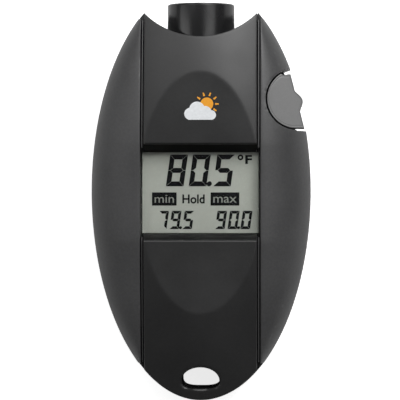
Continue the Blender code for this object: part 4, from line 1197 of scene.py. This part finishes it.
def display_signs(low, high, ink):
    """The degree sign, the scale letter and the words, two of them pale on a dark plate."""
    outer, inner = DEGREE_RADII
    ring = [(outer, low), (outer, high), (inner, high), (inner, low)]
    degree = turned("degree_sign", ring, ink, "Z", (*DEGREE_AT, 0), 48, wrap=True)
    place(degree, "body", "display_cell")
    for name, text, near, far, bolder in SIGNS:
        place(word(name, text, near, far, (low, high), ink, bolder), "body", "display_cell")
    ground = bpy.context.scene.meter_display.ground
    light = plastic("display letter", tuple(0.6 * part for part in ground), 0.5, 6000.0, 0.005, 0.1,
                    tone=0.03, wear_and_highlight=0.0)
    on_plate = (high + 0.01 * MM, high + 0.03 * MM)
    for text, (left, right), letters_top in PLATES:
        plate = slab(text + "_plate", (left, PLATE_Y[0], low), (right, PLATE_Y[1], high), 0.12 * MM,
                     0.005 * MM, ink)
        place(plate, "body", "display_cell")
        lettering = word(text + "_sign", text, (left + LETTER_MARGIN, LETTER_FOOT),
                         (right - LETTER_MARGIN, letters_top), on_plate, light)
        place(lettering, "body", "display_cell")


def display():
    """The window, the display cell behind it and every segment that is on."""
    window()
    low, high, ink = CELL[1][2] + 0.01 * MM, CELL[1][2] + 0.05 * MM, segment_ink()
    readings(low, high, ink)
    display_signs(low, high, ink)


# ---------------------------------------------------------------- printed emblem
def printed_emblem():
    """A plain sun behind a cloud, printed on the upper pad."""
    low, high = body().front_z - PRINT, body().front_z + PRINT
    amber = printed("emblem amber", (0.85, 0.36, 0.03))
    white = printed("emblem white", (0.78, 0.8, 0.82))
    shapes = [circle(SUN_RADIUS, *SUN_AT, 64)]
    for turn in np.arange(RAYS) * TURN / RAYS:
        along = np.array([math.cos(turn), math.sin(turn)])
        across = np.array([-along[1], along[0]]) * RAY_HALF_WIDTH
        near, far = along * RAY_ENDS[0], along * RAY_ENDS[1]
        ray = np.array([near - across, far - across * 0.6, far + across * 0.6, near + across])
        shapes.append(ray + SUN_AT)
    sun = flat_shapes("emblem_sun", shapes, low, high - PRINT / 2, amber)
    place(sun, "body", "moulded_shell")
    cloud = prism("emblem_cloud", rounded_rectangle(*CLOUD_BASE), low, high, white)
    puffs = [prism("puff", circle(radius, x, y, 72), low, high) for x, y, radius in CLOUD_PUFFS]
    combine(cloud, "UNION", puffs)
    place(cloud, "body", "moulded_shell")


# ---------------------------------------------------------------- thumb rocker
def rocker_outline():
    """A round side of one radius, flat ends, and a straight face with a nub: a power of a cosine."""
    length_along = np.linalg.norm(FACE_BOTTOM - FACE_TOP)
    along = (FACE_BOTTOM - FACE_TOP) / length_along
    outward = np.array([-along[1], along[0]])
    share = np.linspace(0, length_along, 90)
    away = np.clip((share - length_along / 2) / NUB_HALF_WIDTH, -1, 1)
    bulge = NUB_HEIGHT * np.maximum(np.cos(away * math.pi / 2), 0) ** NUB_POWER
    face = FACE_TOP + share[:, None] * along + bulge[:, None] * outward
    start = math.pi + math.asin((PIVOT_Y - FACE_BOTTOM[1]) / ROCKER_RADIUS)
    end = math.pi - math.asin((FACE_TOP[1] - PIVOT_Y) / ROCKER_RADIUS)
    turn = np.linspace(start, end, 110)
    arc = np.column_stack([PIVOT_X + ROCKER_RADIUS * np.cos(turn),
                           PIVOT_Y + ROCKER_RADIUS * np.sin(turn)])
    return np.concatenate([face, arc])


def thumb_rocker():
    """A half disc whose face falls outwards.

    Its rings shrink towards the middle of the outline: round the edge, over a narrow rim, down
    into a shallow groove and up to the face.
    """
    outline = rocker_outline()
    middle = outline.mean(axis=0)
    low, high = ROCKER[0][2], ROCKER[1][2]

    def smaller(inwards):
        return middle + (outline - middle) * (1 - inwards / ROCKER_RADIUS)

    def level(points, depth):
        fall = ROCKER_TILT * (points[:, 0] - (PIVOT_X - ROCKER_RADIUS))
        return np.column_stack([points, high - fall - depth])

    foot = ROCKER_FILLET * 0.6
    rings = [np.column_stack([smaller(foot), np.full(len(outline), low)]),
             np.column_stack([outline, np.full(len(outline), low + foot)])]
    for angle in np.linspace(0, math.pi / 2, 7):
        inwards, depth = ROCKER_FILLET * np.array([1 - math.cos(angle), 1 - math.sin(angle)])
        rings.append(level(smaller(inwards), depth))
    for inwards, depth in RIM_STEPS:
        rings.append(level(smaller(inwards), depth))
    rocker = loft("rocker_cap", rings, rocker_plastic())
    finger = slab("finger", (ROCKER[0][0], PIVOT_Y - FINGER_HALF_WIDTH, FINGER_Z[0]),
                  (PIVOT_X - ROCKER_RADIUS + FINGER_ROOT, PIVOT_Y + FINGER_HALF_WIDTH, FINGER_Z[1]),
                  0.3 * MM, 0.15 * MM)
    combine(rocker, "UNION", [finger])
    near, far, half = LEAF_SLOT
    cuts = [post("pin hole", PIVOT_X, PIVOT_Y, PIN_HOLE, high=PIN_HOLE_Z[1]),
            block("leaf slot", (near, PIVOT_Y - half, BELOW), (far, PIVOT_Y + half, ABOVE)),
            post("end dip", *END_DIP, END_DIP_RADIUS, sides=96)]
    combine(rocker, "DIFFERENCE", cuts)
    place(rocker, "rocker", "rocker_plastic", "thumb_rocker")


# ---------------------------------------------------------------- sensor
def quarter(radius, height, edge, start, end, count=7):
    """Points round a rounded corner of a turned profile, between two angles in degrees."""
    turn = np.radians(np.linspace(start, end, count))
    return [(radius + edge * math.cos(a), height + edge * math.sin(a)) for a in turn]


def sensor_barrel():
    """A turned tube with an eased mouth, a groove for its seal and two screw lugs."""
    shoulder_y = BARREL_FRONT_Y - BORE_DEPTH
    seat_y = shoulder_y - WALL
    start, end = SEAL_GROOVE_Y
    profile = [(BARREL_RADIUS, BARREL_BACK_Y), (BARREL_RADIUS, start), (BARREL_RADIUS - MM, start),
               (BARREL_RADIUS - MM, end), (BARREL_RADIUS, end)]
    for radius, edge, turn in ((BARREL_RADIUS - BARREL_ROUND, BARREL_ROUND, 0),
                               (BORE_RADIUS + MOUTH_ROUND, MOUTH_ROUND, 90)):
        profile += quarter(radius, BARREL_FRONT_Y - edge, edge, turn, turn + 90)
    profile += [(BORE_RADIUS, shoulder_y), (TUBE_NARROW, shoulder_y), (TUBE_NARROW, seat_y),
                (TUBE_WIDE, seat_y), (TUBE_WIDE, BARREL_BACK_Y)]
    barrel = turned("barrel_tube", profile, barrel_plastic(), "Y", BARREL_MIDDLE, 160, wrap=True)
    lugs, holes = [], []
    for side, screw in ((-1, "barrel_screw_2"), (1, "barrel_screw_1")):
        (near, *low), high = BARREL_LUG
        near, far = sorted((side * near, side * BARREL[1][0]))
        lugs.append(block("lug", (near, *low), (far, *high)))
        holes.append(post("hole", *screw_places([screw])[0], SCREW_HOLE, *BARREL_HOLE_Z))
    combine(barrel, "UNION", lugs)
    combine(barrel, "DIFFERENCE", holes)
    place(barrel, "body", "barrel_plastic", "sensor_barrel")


def sensor_window():
    """The filter, a disc with eased edges, and the stepped ring that holds it."""
    low, high = node_box("sensor_window")
    radius, ease = high[0], FILTER_EDGE
    profile = [(radius - ease, low[1]), (radius, low[1] + ease)]
    profile += quarter(radius - ease, high[1] - ease, ease, 0, 90, 4)
    disc = turned("sensor_filter", profile, filter_glass(), "Y", BARREL_MIDDLE, 96)
    place(disc, "body", "filter_glass", "sensor_window")
    low, high = node_box("window_retaining_ring")
    ring = [(high[0], low[1]), (high[0], high[1] - RING_EDGE), (high[0] - RING_EDGE, high[1]),
            (RING_BORE[0], high[1]), (RING_BORE[1], high[1] - 0.1 * MM), (RING_BORE[2], low[1])]
    holder = turned("window_ring", ring, bright_steel(), "Y", BARREL_MIDDLE, 128, wrap=True)
    place(holder, "body", "steel", "window_retaining_ring")


# ---------------------------------------------------------------- back
def battery_cap():
    """A turned cap with a rounded rim, two lugs and a coin slot."""
    face, top = CAP[0][2], CAP[1][2]
    rim, dish = face + MM, face + CAP_EDGE
    profile = [(0.0001 * MM, dish), (CAP_DISH[0], dish), (CAP_DISH[1], face + 0.05 * MM)]
    profile += quarter(CAP_RADIUS - CAP_EDGE, face + CAP_EDGE, CAP_EDGE, -90, 0)
    profile += [(CAP_RADIUS, rim), (CAP_HUB_RADIUS, rim), (CAP_HUB_RADIUS, top - CAP_HUB_CHAMFER),
                (CAP_HUB_RADIUS - CAP_HUB_CHAMFER, top)]
    cap = turned("cap_disc", profile, case_plastic(), "Z", BATTERY, 144)
    lugs = [prism("lug", ring_sector(CAP_HUB_RADIUS - MM, *LUG, turn), LUG_Z, top)
            for turn in (0, 180)]
    combine(cap, "UNION", lugs)
    along, half, depth = COIN_SLOT
    slot = block("coin slot", (-along, BATTERY_Y - half, BELOW), (along, BATTERY_Y + half, depth))
    combine(cap, "DIFFERENCE", [slot])
    place(cap, "cap", "moulded_shell", "battery_cap")


def screw_profile(low_z, high_z, head):
    """A domed head, then a shank whose radius goes up and down at even steps, as a thread."""
    under = low_z + HEAD_HEIGHT
    profile = [(head * 0.75 * s, low_z + 0.02 * MM * s) for s in (0.02, 0.4, 0.8, 1.0)]
    profile += [(head * (0.75 + 0.25 * math.sin(a)), low_z + HEAD_ROUND * (1 - math.cos(a)))
                for a in np.linspace(0, math.pi / 2, 8)[1:]]
    profile += [(head, under), (SHANK, under)]
    steps = np.arange(THREAD_STEPS)
    depth = np.where(steps % 2 == 0, SHANK - THREAD_DEPTH, SHANK + THREAD_DEPTH)
    profile += list(zip(depth, under + THREAD_START + steps * THREAD_STEP))
    return profile + [(SHANK * 0.8, high_z - 0.5 * MM), (SHANK * 0.3, high_z)]


def case_screws():
    """Pan heads with a cross recess, over shanks with a coarse thread."""
    along, half, depth = CROSS
    for name in CASE_SCREWS:
        low, high = node_box(name)
        x, y = screw_places([name])[0]
        profile = screw_profile(low[2], high[2], (high[0] - low[0]) / 2)
        screw = turned(name.replace("screw", "fixing"), profile, bright_steel(), "Z", (x, y, 0), 48)
        foot, top = low[2] - MM, low[2] + depth
        cross = [block("slot", (x - wide, y - tall, foot), (x + wide, y + tall, top))
                 for wide, tall in ((along, half), (half, along))]
        combine(screw, "DIFFERENCE", cross)
        place(screw, "body", "steel", name)


def inside_parts():
    """Gives each carried-over sub-part the material of its slot."""
    looks = {
        "rubber": plastic("black rubber", (0.02, 0.02, 0.02), 0.75, 2500.0, strength=0.4,
                          tone=0.15),
        "white_plastic": plastic("white plastic", (0.68, 0.68, 0.65), 0.45, 3000.0, 0.02, 0.2,
                                 tone=0.03),
        "circuit_board": circuit_board(),
        "chip_plastic": plastic("chip epoxy", (0.015, 0.015, 0.015), 0.45, 6000.0, 0.02, 0.4),
        "steel": bright_steel(),
        "plated_brass": metal("plated brass", (0.75, 0.6, 0.32), 0.25),
    }
    slots = {part["node"]: part["material_slot"] for part in frame["record"]["subparts"]}
    for name, node in frame["nodes"].items():
        if node.hide_render:
            continue
        node.data.materials.clear()
        node.data.materials.append(looks[slots[name]])


# ---------------------------------------------------------------- stage
def soft_light(name, place_at, size, power):
    """A rectangular light that faces the middle of the meter."""
    light = bpy.data.lights.new(name, "AREA")
    light.shape = "RECTANGLE"
    light.size, light.size_y = size
    light.energy = power
    made = show(name, light)
    made.location = place_at
    direction = Vector(LIT_POINT) - made.location
    made.rotation_euler = direction.to_track_quat("-Z", "Y").to_euler()


def table():
    """A level pale floor, with the faintest change of tone."""
    corners = TABLE_HALF * np.array([(-1, -1, 0), (1, -1, 0), (1, 1, 0), (-1, 1, 0)])
    mesh = bpy.data.meshes.new("table")
    mesh.from_pydata((corners - (0, 0, 0.02 * MM)).tolist(), [], [(0, 1, 2, 3)])
    look, tree, shader = new_material("pale table")
    pale = tinted(tree, (0.9, 0.9, 0.9), 0.98, 1.0, 3.0)
    tree.links.new(pale, shader.inputs["Base Color"])
    shader.inputs["Roughness"].default_value = 0.9
    shader.inputs["Specular IOR Level"].default_value = 0.1
    glow = add_node(tree, "Emission", {"Strength": bpy.context.scene.meter_studio.floor_glow})
    both = add_node(tree, "AddShader", {0: shader.outputs[0], 1: glow.outputs[0]})
    by_ray(tree, "Is Camera Ray", shader, both)
    mesh.materials.append(look)
    made = show("table", mesh)


def surround():
    """A pale room to look at, and a dimmer one to light by."""
    world = bpy.data.worlds.new("studio room")
    bpy.context.scene.world = world
    world.use_nodes = True
    tree = world.node_tree
    lit = tree.nodes["Background"]
    lit.inputs["Color"].default_value = (1, 1, 1, 1)
    lit.inputs["Strength"].default_value = bpy.context.scene.meter_studio.surround
    seen = add_node(tree, "Background", {"Color": (0.93, 0.93, 0.94, 1), "Strength": 1.0})
    by_ray(tree, "Is Camera Ray", lit, seen, "World Output")


def stage():
    """Floor, soft lights and the camera over the display."""
    studio = bpy.context.scene.meter_studio
    bpy.context.scene.view_settings.view_transform = "Standard"
    table()
    surround()
    for name, place_at, size, power in LIGHTS:
        soft_light(name, place_at, size, getattr(studio, power))
    lens = bpy.data.cameras.new("camera")
    lens.sensor_width = SENSOR_WIDTH
    lens.lens = FOCAL_LENGTH
    lens.clip_start = 0.05
    camera = show("camera", lens)
    camera.location = (CAMERA_X, CAMERA_Y, studio.distance)
    sideways = camera.location.x + CAMERA_PAST
    camera.rotation_euler = (0, math.atan2(sideways, studio.distance - PARTING_Z), 0)
    bpy.context.scene.camera = camera


# ---------------------------------------------------------------- operators
class METER_OT_rear_case(bpy.types.Operator):
    """Build the rear case"""

    bl_idname = "meter.rear_case"
    bl_label = "Rear Case"
    bl_options = {"REGISTER", "UNDO"}

    def execute(self, context):
        rear_case()
        return {"FINISHED"}


class METER_OT_front_panel(bpy.types.Operator):
    """Build the domed centre panel"""

    bl_idname = "meter.front_panel"
    bl_label = "Centre Panel"
    bl_options = {"REGISTER", "UNDO"}

    def execute(self, context):
        front_panel()
        return {"FINISHED"}


class METER_OT_side_covers(bpy.types.Operator):
    """Build the left and right side covers"""

    bl_idname = "meter.side_covers"
    bl_label = "Side Covers"
    bl_options = {"REGISTER", "UNDO"}

    def execute(self, context):
        side_cover(-1, "left_wing", "left_side_cover")
        side_cover(1, "right_wing", "right_side_cover")
        return {"FINISHED"}


class METER_OT_display(bpy.types.Operator):
    """Build the window, the display cell and its readings"""

    bl_idname = "meter.display"
    bl_label = "Display"
    bl_options = {"REGISTER", "UNDO"}

    def execute(self, context):
        display()
        return {"FINISHED"}


class METER_OT_emblem(bpy.types.Operator):
    """Print the sun and cloud"""

    bl_idname = "meter.emblem"
    bl_label = "Emblem"
    bl_options = {"REGISTER", "UNDO"}

    def execute(self, context):
        printed_emblem()
        return {"FINISHED"}


class METER_OT_rocker(bpy.types.Operator):
    """Build the thumb rocker"""

    bl_idname = "meter.rocker"
    bl_label = "Thumb Rocker"
    bl_options = {"REGISTER", "UNDO"}

    def execute(self, context):
        thumb_rocker()
        return {"FINISHED"}


class METER_OT_barrel(bpy.types.Operator):
    """Build the sensor barrel with its window and ring"""

    bl_idname = "meter.barrel"
    bl_label = "Sensor Barrel"
    bl_options = {"REGISTER", "UNDO"}

    def execute(self, context):
        sensor_barrel()
        sensor_window()
        return {"FINISHED"}


class METER_OT_battery_cap(bpy.types.Operator):
    """Build the battery cap"""

    bl_idname = "meter.battery_cap"
    bl_label = "Battery Cap"
    bl_options = {"REGISTER", "UNDO"}

    def execute(self, context):
        battery_cap()
        return {"FINISHED"}


class METER_OT_case_screws(bpy.types.Operator):
    """Build the eight case screws"""

    bl_idname = "meter.case_screws"
    bl_label = "Case Screws"
    bl_options = {"REGISTER", "UNDO"}

    def execute(self, context):
        case_screws()
        return {"FINISHED"}


class METER_OT_inside(bpy.types.Operator):
    """Give the inner parts their materials"""

    bl_idname = "meter.inside"
    bl_label = "Inside Parts"
    bl_options = {"REGISTER", "UNDO"}

    def execute(self, context):
        inside_parts()
        return {"FINISHED"}


class METER_OT_stage(bpy.types.Operator):
    """Add the table, the lights and the camera"""

    bl_idname = "meter.stage"
    bl_label = "Stage"
    bl_options = {"REGISTER", "UNDO"}

    def execute(self, context):
        stage()
        return {"FINISHED"}


OPERATORS = [
    METER_OT_rear_case, METER_OT_front_panel, METER_OT_side_covers, METER_OT_display,
    METER_OT_emblem, METER_OT_rocker, METER_OT_barrel, METER_OT_battery_cap, METER_OT_case_screws,
    METER_OT_inside, METER_OT_stage,
]


class METER_PT_build(bpy.types.Panel):
    """Sidebar panel that lists the meter's pieces."""

    bl_label = "Weather Meter"
    bl_space_type = "VIEW_3D"
    bl_region_type = "UI"
    bl_category = "Meter"

    def draw(self, context):
        for made in OPERATORS:
            self.layout.operator(made.bl_idname)
        for settings in (context.scene.meter_body, context.scene.meter_display,
                         context.scene.meter_finish, context.scene.meter_studio):
            for name in settings.__annotations__:
                self.layout.prop(settings, name)


CLASSES = [MeterBody, MeterDisplay, MeterFinish, MeterStudio, *OPERATORS, METER_PT_build]
SETTINGS = {"meter_body": MeterBody, "meter_display": MeterDisplay, "meter_finish": MeterFinish,
            "meter_studio": MeterStudio}


def register():
    for made in CLASSES:
        bpy.utils.register_class(made)
    for name, group in SETTINGS.items():
        setattr(bpy.types.Scene, name, PointerProperty(type=group))


def unregister():
    for name in SETTINGS:
        delattr(bpy.types.Scene, name)
    for made in reversed(CLASSES):
        bpy.utils.unregister_class(made)


def main():
    register()
    for made in OPERATORS:
        group, name = made.bl_idname.split(".")
        getattr(getattr(bpy.ops, group), name)()
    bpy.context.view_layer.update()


if __name__ == "__main__":
    main()
